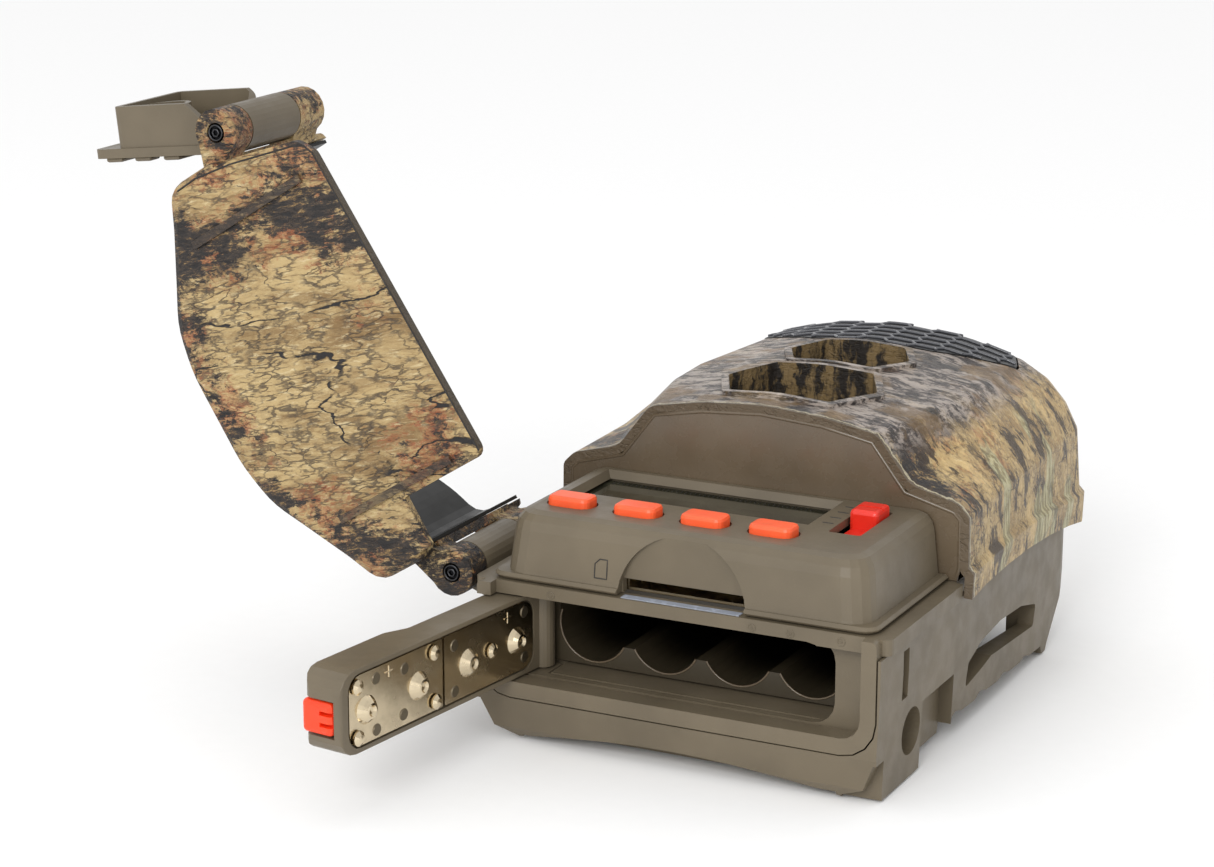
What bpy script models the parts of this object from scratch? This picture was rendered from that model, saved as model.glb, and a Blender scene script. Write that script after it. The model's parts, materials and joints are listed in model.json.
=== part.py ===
"""Trail camera with its front cover and battery door open.

The camera lies on its back: +Z is out of the lens side, -Y is the end with the
controls and the batteries, +X is the side with the padlock latch. The origin is
the middle of the flat pad under the battery bay.

Every size is in millimetres and becomes metres when its mesh is made. The cover,
its lever and the battery door are modelled shut and then turned open.
"""
import math

import bmesh
import bpy
from mathutils import Matrix, Vector

MM = 0.001
NAME = "trail_camera"
ORIGIN_SHIFT = 30.0        # the last step moves everything along +Y, off the pad's middle

# Case
HALF_WIDTH = 42.6          # back case at its rim
FRONT_Y = -52.6            # front plane of the lip round the battery bay
REAR_Y = 63.2
REAR_HALF = 40.3           # the case and the hood narrow towards the rear
SEAM_Z = 32.0              # top of the mid frame, where the control panel sits
RIM_Z = 28.6               # top of the back case
LEDGE_HALF = 43.3
UNDER_HALF = 41.7          # the ledge's half width where the hood covers it
LEDGE_BOTTOM = 28.9
GAP = 0.3
SHELF_Z = 12.6             # the floor under the battery tray and the shut door

# Battery bay
TUBE_PITCH = 15.4
TUBE_XS = [TUBE_PITCH * (i - 1.5) for i in range(4)]
TUBE_Z = 21.3
TUBE_R = 7.4
TRAY_FRONT, TRAY_REAR = -38.9, 56.0
BAY_LOW, BAY_HIGH = 12.5, 29.4
BAY_RIGHT = 31.2

# Battery door, shut: its inner face looks along +Y
DOOR_AXIS = Vector((-33.0, -41.7, 0.0))
DOOR_INNER_Y = -40.9
DOOR_OUTER_Y = -49.7
DOOR_THIN_Y = -47.7
PLATE_LEFT, PLATE_RIGHT = -28.6, 28.0
DOOR_LOW, DOOR_HIGH = 12.9, 29.0
DOOR_END = 30.6
DOOR_OPEN = 97.5

# Cover, shut: the hinge pin is on -X and the latch pin on +X
PIN_X = 48.7
PIN_Z = 31.7
PIN_R = 1.7
BARREL_R = 4.7
COVER_FRONT, COVER_REAR = -54.6, -12.6
COVER_WALL = 1.7
COVER_OPEN = 122.0
LEVER_OPEN = 154.5
LUGS = [(-50.0, -43.9), (-26.2, -17.4)]
RIB_XS = [-29.4, 31.6]
MIDDLE_BARREL = (-43.6, -26.5)
BORE_Y, BORE_Z, BORE_R = -35.2, 9.4, 4.7

# Control panel
PANEL_TOP = 45.5
PANEL_REAR = -12.2
BUTTON_XS = [-28.0, -13.8, 0.4, 14.6]
BUTTON_Y = -38.4
BUTTON_TOP = 47.3
SWITCH = (23.4, 30.0, -33.3, -16.3)
LCD = (-31.8, 17.5, -30.0, -14.5)

# Hood
LIP_Y = -12.0
HOOD_REAR = 66.6
HOOD_WALL = 1.8
WINDOW_X = 0.4
# centre, half sizes and floor of the two six-sided recesses
WINDOWS = {"pir_lens": (7.3, 16.2, 11.6, 52.4), "lens_window": (32.4, 13.2, 9.2, 57.4)}
LAMPS = [(-14.0, 45.4), (14.0, 45.4), (30.0, 54.6), (26.6, 62.4), (-26.6, 62.4), (-30.0, 54.6)]

TAN = (0.205, 0.172, 0.122)
TAN_DARK = (0.10, 0.085, 0.06)
CAMO = (0.36, 0.29, 0.17)
ORANGE = (1.0, 0.16, 0.045)
RED = (0.9, 0.06, 0.02)
STEEL = (0.55, 0.53, 0.48)
BLACK = (0.02, 0.02, 0.022)
GREEN_BOARD = (0.03, 0.12, 0.06)


def clear_scene():
    for item in list(bpy.data.objects):
        bpy.data.objects.remove(item, do_unlink=True)


def make_collection(name):
    collection = bpy.data.collections.new(name)
    bpy.context.scene.collection.children.link(collection)
    return collection


def material(name, colour, roughness=0.55, metallic=0.0, alpha=1.0):
    result = bpy.data.materials.new(name)
    result.use_nodes = True
    shader = result.node_tree.nodes["Principled BSDF"]
    shader.inputs["Base Color"].default_value = (*colour, 1.0)
    shader.inputs["Roughness"].default_value = roughness
    shader.inputs["Metallic"].default_value = metallic
    shader.inputs["Alpha"].default_value = alpha
    return result


# ---------------------------------------------------------------- solids

def add_object(name, mesh):
    result = bpy.data.objects.new(name, mesh)
    PARTS.objects.link(result)
    return result


def mesh_object(name, bm):
    bmesh.ops.recalc_face_normals(bm, faces=bm.faces)
    mesh = bpy.data.meshes.new(name)
    bm.to_mesh(mesh)
    bm.free()
    return add_object(name, mesh)


def box(name, low, high):
    """A box between two corners."""
    low, high = Vector(low) * MM, Vector(high) * MM
    bm = bmesh.new()
    bmesh.ops.create_cube(bm, size=1.0)
    bmesh.ops.scale(bm, vec=high - low, verts=bm.verts)
    bmesh.ops.translate(bm, vec=(low + high) / 2, verts=bm.verts)
    return mesh_object(name, bm)


def along(axis):
    """Rotation that takes local XY to an outline's plane and local Z to its axis."""
    return {"X": Matrix(((0, 0, 1), (1, 0, 0), (0, 1, 0))),
            "Y": Matrix(((1, 0, 0), (0, 0, -1), (0, 1, 0))),
            "Z": Matrix.Identity(3)}[axis].to_4x4()


def cylinder(name, centre, radius, length, axis="Z", segments=28, top=None):
    """A cylinder, or a cone when top gives its other radius."""
    bm = bmesh.new()
    bmesh.ops.create_cone(bm, cap_ends=True, segments=segments, radius1=radius * MM,
                          radius2=(radius if top is None else top) * MM, depth=length * MM)
    bmesh.ops.transform(bm, matrix=Matrix.Translation(Vector(centre) * MM) @ along(axis),
                        verts=bm.verts)
    return mesh_object(name, bm)


def slab(name, outline, low, high, axis):
    """A flat outline, carried along an axis from low to high."""
    curve = bpy.data.curves.new(name, "CURVE")
    curve.dimensions = "2D"
    curve.fill_mode = "BOTH"
    curve.extrude = (high - low) / 2 * MM
    spline = curve.splines.new("POLY")
    spline.points.add(len(outline) - 1)
    for point, (u, v) in zip(spline.points, outline):
        point.co = (u * MM, v * MM, 0.0, 1.0)
    spline.use_cyclic_u = True
    drawn = bpy.data.objects.new(name, curve)
    mesh = bpy.data.meshes.new_from_object(drawn)
    bpy.data.objects.remove(drawn)
    middle = {"X": Vector((1, 0, 0)), "Y": Vector((0, 1, 0)), "Z": Vector((0, 0, 1))}[axis]
    bm = bmesh.new()
    bm.from_mesh(mesh)
    bpy.data.meshes.remove(mesh)
    bmesh.ops.remove_doubles(bm, verts=bm.verts, dist=1e-6)
    bmesh.ops.dissolve_limit(bm, angle_limit=0.002, verts=bm.verts, edges=bm.edges)
    place = Matrix.Translation(middle * (low + high) / 2 * MM) @ along(axis)
    bmesh.ops.transform(bm, matrix=place, verts=bm.verts)
    return mesh_object(name, bm)


def loft(name, rings):
    """A closed solid through rings of equal point counts, capped at both ends."""
    bm = bmesh.new()
    rows = [[bm.verts.new(Vector(point) * MM) for point in ring] for ring in rings]
    count = len(rows[0])
    for lower, upper in zip(rows, rows[1:]):
        for i in range(count):
            bm.faces.new((lower[i], lower[(i + 1) % count], upper[(i + 1) % count], upper[i]))
    bm.faces.new(rows[0])
    bm.faces.new(rows[-1])
    return mesh_object(name, bm)


def turned(name, profile, base, axis, steps=20):
    """A solid of revolution: profile holds (radius, height) from the top axis point down."""
    bm = bmesh.new()
    line = [bm.verts.new((radius * MM, 0.0, height * MM)) for radius, height in profile]
    for first, second in zip(line, line[1:]):
        bm.edges.new((first, second))
    shape = mesh_object(name, bm)
    screw = shape.modifiers.new("Turn", "SCREW")
    screw.steps = steps
    screw.render_steps = steps
    screw.use_merge_vertices = True
    screw.merge_threshold = 0.00001
    bake(shape)
    shape.data.transform(Matrix.Translation(Vector(base) * MM) @ along(axis))
    return shape


def bake(shape):
    """Put an object's evaluated mesh in place of its modifiers."""
    graph = bpy.context.evaluated_depsgraph_get()
    mesh = bpy.data.meshes.new_from_object(shape.evaluated_get(graph))
    shape.modifiers.clear()
    shape.data = mesh
    return shape


def combine(shape, operation, tools):
    for tool in tools:
        step = shape.modifiers.new(operation.title(), "BOOLEAN")
        step.operation = operation
        step.object = tool
    bake(shape)
    for tool in tools:
        bpy.data.objects.remove(tool)
    return shape


def join(shape, *tools):
    return combine(shape, "UNION", tools)


def cut(shape, *tools):
    return combine(shape, "DIFFERENCE", tools)


def keep_common(shape, *tools):
    return combine(shape, "INTERSECT", tools)


def soften(shape, width, segments=2, angle=40.0):
    """Round the sharp edges."""
    step = shape.modifiers.new("Bevel", "BEVEL")
    step.width = width * MM
    step.segments = segments
    step.limit_method = "ANGLE"
    step.angle_limit = math.radians(angle)
    return bake(shape)


def finish(shape, look, smooth=35.0):
    shape.data.materials.clear()
    shape.data.materials.append(look)
    shape.data.shade_smooth()
    shape.data.set_sharp_from_angle(angle=math.radians(smooth))
    return shape


def arc(centre, radius, start, end, steps):
    """Points on an arc, angles in degrees."""
    angles = [math.radians(start + (end - start) * i / steps) for i in range(steps + 1)]
    return [(centre[0] + radius * math.cos(a), centre[1] + radius * math.sin(a)) for a in angles]


def rounded(outline, radius, steps=4):
    """An outline with an arc in place of each corner; radius may be one value a corner."""
    radii = radius if isinstance(radius, list) else [radius] * len(outline)
    result = []
    for i, corner in enumerate(outline):
        here = Vector(corner)
        to_last = (Vector(outline[i - 1]) - here).normalized()
        to_next = (Vector(outline[(i + 1) % len(outline)]) - here).normalized()
        if radii[i] <= 0:
            result.append(tuple(here))
            continue
        half = to_last.angle(to_next) / 2
        reach = radii[i] / math.tan(half)
        centre = here + (to_last + to_next).normalized() * radii[i] / math.sin(half)
        first = here + to_last * reach - centre
        last = here + to_next * reach - centre
        turn = first.angle_signed(last)
        for step in range(steps + 1):
            angle = -turn * step / steps
            spun = Matrix.Rotation(angle, 2) @ first
            result.append(tuple(centre + spun))
    return result


def rectangle(x0, x1, y0, y1):
    return [(x0, y0), (x1, y0), (x1, y1), (x0, y1)]


def mirrored(half):
    """A whole outline from its +X half, which runs from low to high."""
    return half + [(-x, z) for x, z in reversed(half)]


# ---------------------------------------------------------------- back case

def rail_bottom():
    """The toothed lower edge of a side rail, from the front to the rear."""
    start, end, teeth = -12.0, 44.0, 4
    pitch = (end - start) / teeth
    points = []
    for i in range(teeth):
        left, right = start + pitch * i, start + pitch * (i + 1)
        base = 3.6 - 3.0 * (i / teeth) ** 1.6
        points += [(left + 1.2, base + 1.6), (left + 5.0, base + 0.6), (right - 1.6, base + 0.2)]
    return points + [(end - 0.6, 0.0), (end + 1.8, 0.0)]


def plan(front, half, rear, rear_half, corner=9.0):
    """The case seen from above, narrowing from the hood's lip to the rear."""
    outline = [(-half, front), (half, front), (half, LIP_Y), (rear_half, rear), (-rear_half, rear),
               (-half, LIP_Y)]
    return rounded(outline, [0.8, 0.8, 0.0, corner, corner, 0.0])


def back_case():
    side = [(FRONT_Y, RIM_Z), (FRONT_Y, 9.0), (-51.2, 2.4), (-49.6, 0.0), (-15.8, 0.0), (-15.2, 1.2),
            (-13.6, 1.2), (-12.6, 4.6)]
    side += rail_bottom()
    side += [(46.8, 1.4), (56.8, 11.0), (61.4, 22.0), (REAR_Y, RIM_Z)]
    shell = slab("back_case", side, -45.0, 45.0, "X")
    front = mirrored([(34.5, -1.0), (41.5, -1.0), (HALF_WIDTH, RIM_Z + 1.0)])
    keep_common(shell, slab("cutter", front, -60.0, 80.0, "Y"))
    above = plan(FRONT_Y - 1, HALF_WIDTH - 0.25, REAR_Y + 0.6, REAR_HALF)
    keep_common(shell, slab("cutter", above, -5.0, RIM_Z + 1.0, "Z"))
    cutters = case_hollows() + strap_slots() + corner_cuts()
    cutters += [cylinder("cutter", (x, y, 12.0), 1.2, 6.0, "Z", 12) for x, y in SCREW_SPOTS]
    cut(shell, *cutters)
    return finish(shell, LOOKS["tan_plastic"])


def strap_slots():
    """The channel between the rails, and the slots where a strap passes through them."""
    result = [box("cutter", (-35.0, -13.0, -5.0), (35.0, 80.0, 11.2))]
    slot = rounded([(-6.0, 8.4), (9.0, 10.5), (36.5, 8.3), (38.0, 12.7), (28.0, 15.2), (14.5, 16.3),
                    (2.0, 15.6), (-4.8, 13.4)], 0.8, 2)
    for way in (-1, 1):
        x0, x1 = sorted((way * 33.0, way * 50.0))
        result.append(slab("cutter", slot, x0, x1, "X"))
        x0, x1 = sorted((way * 34.8, way * 37.6))
        result.append(box("cutter", (x0, -6.0, -5.0), (x1, 37.0, 15.6)))
    return result


def corner_cuts():
    """The padlock lug on +X, its bore and the relief round it; -X has a plain rounded corner."""
    wedge = [(34.0, -3.0), (34.0, 0.4), (38.8, 2.4), (41.2, 8.0), (50.0, 8.2), (50.0, -3.0)]
    arch = arc((-1.0, -178.5), 181.9, 78.4, 101.6, 12)
    return [
        box("cutter", (39.0, -29.8, -5.0), (50.0, -13.0, 13.6)),
        box("cutter", (41.2, -41.1, 17.3), (50.0, -38.2, 27.0)),
        cylinder("cutter", (40.0, BORE_Y, BORE_Z), BORE_R, 14.0, "X"),
        slab("cutter", wedge, -60.0, -48.6, "Y"),
        slab("cutter", [(-x, z) for x, z in reversed(wedge)], -60.0, -13.0, "Y"),
        slab("cutter", arch, -60.0, -44.5, "Y"),
        # the pad that the camera rests on stands clear of the front edge and the sides
        box("cutter", (-33.0, -50.2, -5.0), (33.0, -44.5, 1.4)),
        box("cutter", (-60.0, -46.0, -5.0), (-33.0, -13.0, 1.2)),
        box("cutter", (33.0, -29.8, -5.0), (60.0, -13.0, 1.2)),
    ]


def case_hollows():
    """The space under the mid frame, the shelf of the battery tray and the battery bay."""
    inside = plan(-50.4, HALF_WIDTH - 2.2, REAR_Y - 2.0, REAR_HALF - 2.0, 4.0)
    seat = rounded(rectangle(-41.8, 41.8, 9.0, 40.0), [7.3, 7.3, 0, 0])
    shelf_rear = TRAY_REAR + GAP
    return [
        slab("cutter", inside, 20.0, 40.0, "Z"),
        box("cutter", (-32.6, -50.4, SHELF_Z), (32.6, shelf_rear, 20.5)),
        # seat of the lip, the pocket of the door's hinge and the way out for the open door
        slab("cutter", seat, -60.0, -44.9, "Y"),
        box("cutter", (-41.6, -50.0, 9.2), (-29.6, -37.6, 28.7)),
        box("cutter", (-60.0, -60.0, BAY_LOW - 0.1), (-40.0, -46.0, 40.0)),
    ]


# ---------------------------------------------------------------- mid frame

def mid_frame():
    half, step = LEDGE_HALF, LIP_Y - 0.6
    rear = REAR_HALF - 1.0
    outer = [(-half, -50.4), (half, -50.4), (half, step), (UNDER_HALF, step), (rear, REAR_Y - 0.4),
             (-rear, REAR_Y - 0.4), (-UNDER_HALF, step), (-half, step)]
    frame = slab("mid_frame", rounded(outer, [1.5, 1.5, 0.5, 0, 6.0, 6.0, 0, 0.5]), LEDGE_BOTTOM, SEAM_Z, "Z")
    opening = plan(-47.4, 38.6, REAR_Y - 2.6, 36.6, 4.0)
    cut(frame, slab("cutter", opening, 20.0, 40.0, "Z"))
    lip = slab("lip", rounded(rectangle(-41.5, 41.5, 9.3, SEAM_Z), [7.0, 7.0, 1.0, 1.0]),
               FRONT_Y - 0.1, -48.0, "Y")
    mouth = slab("mouth", rounded([(-38.5, BAY_LOW), (38.5, BAY_LOW), (38.5, 60.0), (-38.5, 60.0)],
                                  [4.0, 4.0, 0, 0]), -60.0, -40.0, "Y")
    cut(lip, mouth)
    join(frame, lip)
    return frame


def mid_frame_bay(frame):
    """The recessed wall that the battery door closes against, with its hinge ears."""
    strip = box("strip", (-38.8, -50.3, LEDGE_BOTTOM), (38.8, -46.6, SEAM_Z))
    wall = slab("wall", rounded(rectangle(-39.6, 39.2, 9.6, 30.5), [6.0, 6.0, 0, 0]), -47.0, -45.2, "Y")
    ears = [box("ear", (-40.2, -46.9, low), (-30.0, -39.3, high))
            for low, high in ((BAY_HIGH, SEAM_Z), (9.6, BAY_LOW))]
    join(frame, strip, wall)
    opening = rounded(rectangle(-45.0, BAY_RIGHT, BAY_LOW, BAY_HIGH), [0, 4.5, 4.5, 0])
    cut(frame, slab("cutter", opening, -60.0, -40.0, "Y"))
    return join(frame, *ears)


def mid_frame_knuckle(frame):
    """The fixed barrel of the cover's hinge."""
    low, high = MIDDLE_BARREL
    barrel = cylinder("barrel", (-PIN_X, (low + high) / 2, PIN_Z), BARREL_R, high - low, "Y")
    web = slab("web", [(-PIN_X - 3.0, PIN_Z - 3.4), (-42.9, 25.0), (-42.9, 31.4), (-PIN_X, PIN_Z)],
               low, high, "Y")
    join(frame, web, barrel)
    cut(frame, cylinder("cutter", (-PIN_X, -35.0, PIN_Z), PIN_R + GAP, 60.0, "Y"))
    return frame


def build_mid_frame():
    frame = mid_frame()
    mid_frame_bay(frame)
    mid_frame_knuckle(frame)
    # way out for the open door, and the hinge pin's holes
    cut(frame,
        box("cutter", (-60.0, -60.0, BAY_LOW), (-33.5, -44.9, BAY_HIGH)),
        cylinder("cutter", (DOOR_AXIS.x, DOOR_AXIS.y, 20.0), 1.3, 19.0, "Z", 16))
    return finish(frame, LOOKS["tan_plastic"])


# ---------------------------------------------------------------- battery tray

def scallops():
    """The bay's section: four tube floors under one flat roof."""
    crest = TUBE_Z - 3.4
    reach = math.degrees(math.acos((TUBE_Z - crest) / TUBE_R))
    points = [(TUBE_XS[-1] + TUBE_R, TUBE_Z + 4.0), (TUBE_XS[-1] + TUBE_R - 3.0, TUBE_Z + TUBE_R),
              (TUBE_XS[0] - TUBE_R + 3.0, TUBE_Z + TUBE_R), (TUBE_XS[0] - TUBE_R, TUBE_Z + 4.0)]
    for i, x in enumerate(TUBE_XS):
        start = 180.0 if i == 0 else 270.0 - reach
        end = 360.0 if i == len(TUBE_XS) - 1 else 270.0 + reach
        points += arc((x, TUBE_Z), TUBE_R, start, end, 9)
    return points


def battery_tray():
    tray = box("battery_tray", (-32.0, TRAY_FRONT, 13.2), (32.0, TRAY_REAR, 30.6))
    section = scallops()
    cut(tray, loft("cutter", [[(x, y, z) for x, z in section] for y in (TRAY_FRONT - 1.0, TRAY_REAR - 1.6)]))
    for y in (-22.0, 8.0):
        rib = box("rib", (-31.2, y, TUBE_Z + 2.0), (31.2, y + 1.6, 30.1))
        cut(rib, *[cylinder("cutter", (x, y, TUBE_Z), TUBE_R - 0.15, 12.0, "Y", 36) for x in TUBE_XS])
        join(tray, rib)
    return finish(tray, LOOKS["dark_plastic"])


def battery_springs():
    """Two coil springs and two buttons, for cells that alternate end for end."""
    for i, x in enumerate(TUBE_XS):
        number = i // 2 + 1
        if i % 2:
            profile = [(0.0, 2.2), (2.6, 2.2), (3.0, 1.6), (3.0, 1.0), (5.6, 1.0), (5.6, 0.0), (0.0, 0.0)]
            piece = turned(f"rear_contact_{number}", profile, (x, TRAY_REAR - 2.0, TUBE_Z), "Y", 16)
        else:
            piece = coil(f"battery_spring_{number}", (x, TRAY_REAR - 2.6, TUBE_Z), 4.6, 2.6, 7.0, 4)
        finish(piece, LOOKS["steel"])


def coil(name, base, wide, narrow, length, turns):
    """A tapered wire coil that stands along -Y from its base."""
    curve = bpy.data.curves.new(name, "CURVE")
    curve.dimensions = "3D"
    curve.bevel_depth = 0.45 * MM
    curve.bevel_resolution = 1
    curve.use_fill_caps = True
    per_turn = 10
    spline = curve.splines.new("POLY")
    spline.points.add(turns * per_turn)
    for i, point in enumerate(spline.points):
        share = i / (turns * per_turn)
        angle = math.tau * i / per_turn
        radius = wide + (narrow - wide) * share
        point.co = ((base[0] + radius * math.cos(angle)) * MM, (base[1] - length * share) * MM,
                    (base[2] + radius * math.sin(angle)) * MM, 1.0)
    drawn = bpy.data.objects.new(name, curve)
    mesh = bpy.data.meshes.new_from_object(drawn)
    bpy.data.objects.remove(drawn)
    bm = bmesh.new()
    bm.from_mesh(mesh)
    bmesh.ops.remove_doubles(bm, verts=bm.verts, dist=1e-6)
    return mesh_object(name, bm)


# ---------------------------------------------------------------- control panel

def panel_ring(inset, z, radius):
    """A rounded rectangle round the panel, drawn in by an inset."""
    sides = rectangle(-38.4 + inset, 38.4 - inset, -49.4 + inset, PANEL_REAR)
    return [(x, y, z) for x, y in rounded(sides, [radius, radius, 1.0, 1.0])]


def control_panel():
    outer = [panel_ring(0.0, 32.3, 5.0), panel_ring(0.3, 34.0, 5.0), panel_ring(1.2, 42.0, 5.0),
             panel_ring(1.7, 43.8, 4.6), panel_ring(2.7, 45.0, 4.0), panel_ring(4.2, PANEL_TOP, 3.0)]
    panel = loft("control_panel", outer)
    flange = slab("flange", rounded(rectangle(-40.1, 40.1, -50.0, PANEL_REAR), [3.0, 3.0, 0, 0]),
                  32.3, 33.5, "Z")
    join(panel, soften(flange, 0.5, 1))
    hollow = [panel_ring(1.7, 30.0, 4.0), panel_ring(2.0, 34.0, 4.0), panel_ring(2.9, 42.0, 3.6),
              panel_ring(4.4, 43.9, 3.0)]
    for ring in hollow:
        ring[:] = [(x, max(-45.8, min(y, PANEL_REAR - 1.3)), z) for x, y, z in ring]
    cut(panel, loft("cutter", hollow))
    cutters = []
    for x in BUTTON_XS:
        hole = rounded(rectangle(x - 5.2, x + 5.2, BUTTON_Y - 3.2, BUTTON_Y + 3.2), 3.0)
        cutters.append(slab("cutter", hole, 40.0, 50.0, "Z"))
    x0, x1, y0, y1 = SWITCH
    cutters.append(slab("cutter", rounded(rectangle(x0, x1, y0, y1), 0.6, 2), 40.0, 50.0, "Z"))
    x0, x1, y0, y1 = LCD
    window = [[(x, y, z) for x, y in rectangle(x0 - grow, x1 + grow, y0 - grow, y1 + grow)]
              for grow, z in ((0.0, 40.0), (0.0, 43.9), (1.2, 46.0))]
    cutters.append(loft("cutter", window))
    # card slot with a finger scoop above it
    cutters.append(box("cutter", (-12.6, -56.0, 31.0), (13.4, -44.0, 35.2)))
    cutters.append(cylinder("cutter", (0.4, -52.0, 31.6), 13.4, 9.4, "Y", 40))
    cut(panel, *cutters)
    return finish(panel, LOOKS["tan_plastic"])


def buttons():
    for number, x in enumerate(BUTTON_XS, 1):
        cap = slab(f"button_{number}", rounded(rectangle(x - 4.4, x + 4.4, BUTTON_Y - 2.7, BUTTON_Y + 2.7),
                                               1.3, 3), 41.6, BUTTON_TOP, "Z")
        soften(cap, 0.7, 2, 60.0)
        skirt = box("skirt", (x - 6.2, BUTTON_Y - 3.9, 41.2), (x + 6.2, BUTTON_Y + 3.9, 42.3))
        join(cap, skirt)
        finish(cap, LOOKS["orange_rubber"])


def mode_switch():
    x0, x1, y0, y1 = SWITCH
    slider = box("mode_switch", (x0 + 0.4, y1 - 7.6, 41.0), (x1 - 0.4, y1 - 0.5, 47.4))
    soften(slider, 0.8, 2)
    groove = box("cutter", (x0 - 1, y1 - 4.4, 46.9), (x1 + 1, y1 - 3.9, 50.0))
    cut(slider, groove)
    tongue = box("tongue", (x0 + 0.9, y0 - 1.0, 41.2), (x1 - 0.9, y1 - 2.0, 43.6))
    join(slider, tongue)
    return finish(slider, LOOKS["red_plastic"])


def electronics():
    x0, x1, y0, y1 = LCD
    glass = box("lcd_display", (x0 - 2.0, y0 - 1.2, 40.6), (x1 + 1.6, y1 + 0.7, 43.3))
    finish(glass, LOOKS["lcd_glass"])
    board = box("button_board", (-33.0, -44.8, 38.4), (31.5, -14.1, 39.8))
    finish(board, LOOKS["circuit_board"])
    slot = box("sd_socket", (-13.6, -45.4, 32.3), (14.4, -20.0, 36.2))
    cut(slot, box("cutter", (-12.2, -60.0, 32.9), (13.0, -22.0, 35.1)))
    finish(slot, LOOKS["steel"])
    plate = box("main_board", (-34.0, -6.0, 34.2), (34.0, 54.0, 35.8))
    finish(plate, LOOKS["circuit_board"])


# ---------------------------------------------------------------- hood

# Half outline of the hood at its lip and at its rear: flange, ridge, side, shoulder, crown
HOOD_LIP = [(44.9, 28.9), (45.1, 33.8), (43.9, 35.0), (43.8, 45.2), (41.4, 47.6), (31.4, 50.2),
            (24.4, 59.3), (13.0, 61.4), (0.0, 62.3)]
HOOD_MIDDLE = [(44.1, 27.2), (44.3, 32.5), (43.1, 33.7), (42.8, 45.4), (40.8, 48.4), (35.6, 54.6),
               (30.0, 60.0), (14.0, 62.2), (0.0, 63.0)]
HOOD_BACK = [(42.6, 24.2), (42.8, 30.2), (41.6, 31.4), (40.6, 44.4), (37.8, 50.0), (33.6, 54.8),
             (27.6, 58.3), (16.0, 61.8), (0.0, 63.4)]

HOOD_RADII = [0.0, 0.5, 0.5, 2.0, 3.0, 5.0, 4.0, 30.0, 40.0]
MIDDLE_SHARE = 0.36        # how far back the middle outline lies


def hood_section(share, inset=0.0):
    """Half outline part of the way back, drawn in towards the middle by an inset."""
    first, last, rate = HOOD_LIP, HOOD_MIDDLE, share / MIDDLE_SHARE
    if share > MIDDLE_SHARE:
        first, last, rate = HOOD_MIDDLE, HOOD_BACK, (share - MIDDLE_SHARE) / (1.0 - MIDDLE_SHARE)
    half = []
    for (x0, z0), (x1, z1) in zip(first, last):
        x, z = x0 + (x1 - x0) * rate, z0 + (z1 - z0) * rate
        half.append((x - inset * min(1.0, x / 30.0), z - inset * max(0.0, (z - 34.0) / 30.0)))
    return half


def hood_rise(share):
    """How far the side flange's lower edge climbs between the lip and the rear."""
    return 2.4 * math.sin(math.pi * min(1.0, share * 1.1)) ** 0.7


def hood_ring(y, inset):
    """The hood's outline at one station, from flange to flange over the crown."""
    share = (y - LIP_Y) / (HOOD_REAR - LIP_Y)
    half = hood_section(share, inset)
    lift = hood_rise(share)
    for i, part in enumerate((1.0, 0.75, 0.75)):
        half[i] = (half[i][0], half[i][1] + lift * part)
    outline = half + [(-x, z) for x, z in reversed(half[:-1])]
    return [(x, y, z) for x, z in rounded(outline, HOOD_RADII + HOOD_RADII[-2::-1], 3)]


HOOD_STATIONS = [(LIP_Y, 0.0), (-3.0, 0.0), (10.0, 0.0), (24.0, 0.0), (38.0, 0.0), (52.0, 0.0),
                 (61.5, 0.0), (65.0, 0.9), (HOOD_REAR, 3.0)]


def hood_solid(name, inset):
    """The space under the hood, for trimming what follows its surface."""
    return loft(name, [hood_ring(y, inset + extra) for y, extra in HOOD_STATIONS])


def window_rim(y, half_x, half_y, bottom):
    """The wall of a six-sided recess, standing a little proud of the hood."""
    rim = slab("rim", rounded(hexagon(WINDOW_X, y, half_x + 1.7, half_y + 1.4), 1.5, 2), bottom, 80.0, "Z")
    cut(rim, window_hole(y, half_x, half_y))
    return keep_common(rim, hood_solid("cutter", -0.8))


def window_hole(y, half_x, half_y):
    return slab("cutter", rounded(hexagon(WINDOW_X, y, half_x, half_y), 1.2, 2), 40.0, 90.0, "Z")


def front_hood():
    bm = bmesh.new()
    rows = [[bm.verts.new(Vector(point) * MM) for point in hood_ring(*station)]
            for station in HOOD_STATIONS]
    for near, far in zip(rows, rows[1:]):
        for i in range(len(near) - 1):
            bm.faces.new((near[i], near[i + 1], far[i + 1], far[i]))
    bm.faces.new(rows[-1])
    hood = mesh_object("front_hood", bm)
    if hood.data.polygons[0].normal.x < 0:
        hood.data.flip_normals()
    wall = hood.modifiers.new("Wall", "SOLIDIFY")
    wall.thickness = HOOD_WALL * MM
    wall.offset = -1.0
    wall.use_even_offset = True
    bake(hood)
    cut(hood, slab("cutter", rounded(LAMPS, 2.0, 2), 53.0, 80.0, "Z"))
    for y, half_x, half_y, bottom in WINDOWS.values():
        join(hood, window_rim(y, half_x, half_y, bottom))
        cut(hood, window_hole(y, half_x, half_y))
    return finish(hood, LOOKS["camo"])


def hexagon(x, y, half_x, half_y):
    """A six-sided window, long across the camera."""
    return [(x - half_x, y), (x - half_x * 0.66, y - half_y), (x + half_x * 0.66, y - half_y),
            (x + half_x, y), (x + half_x * 0.66, y + half_y), (x - half_x * 0.66, y + half_y)]


def drawn_in(line, distance):
    """An open line moved to its left by a distance."""
    result = []
    for i, corner in enumerate(line):
        here = Vector(corner)
        ways = [(Vector(b) - Vector(a)).normalized()
                for a, b in zip(line[max(0, i - 1):i + 1], line[max(0, i - 1) + 1:i + 2])]
        normals = [Vector((-way.y, way.x)) for way in ways]
        middle = sum(normals, Vector((0.0, 0.0))).normalized()
        result.append(tuple(here + middle * distance / middle.dot(normals[0])))
    return result


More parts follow.
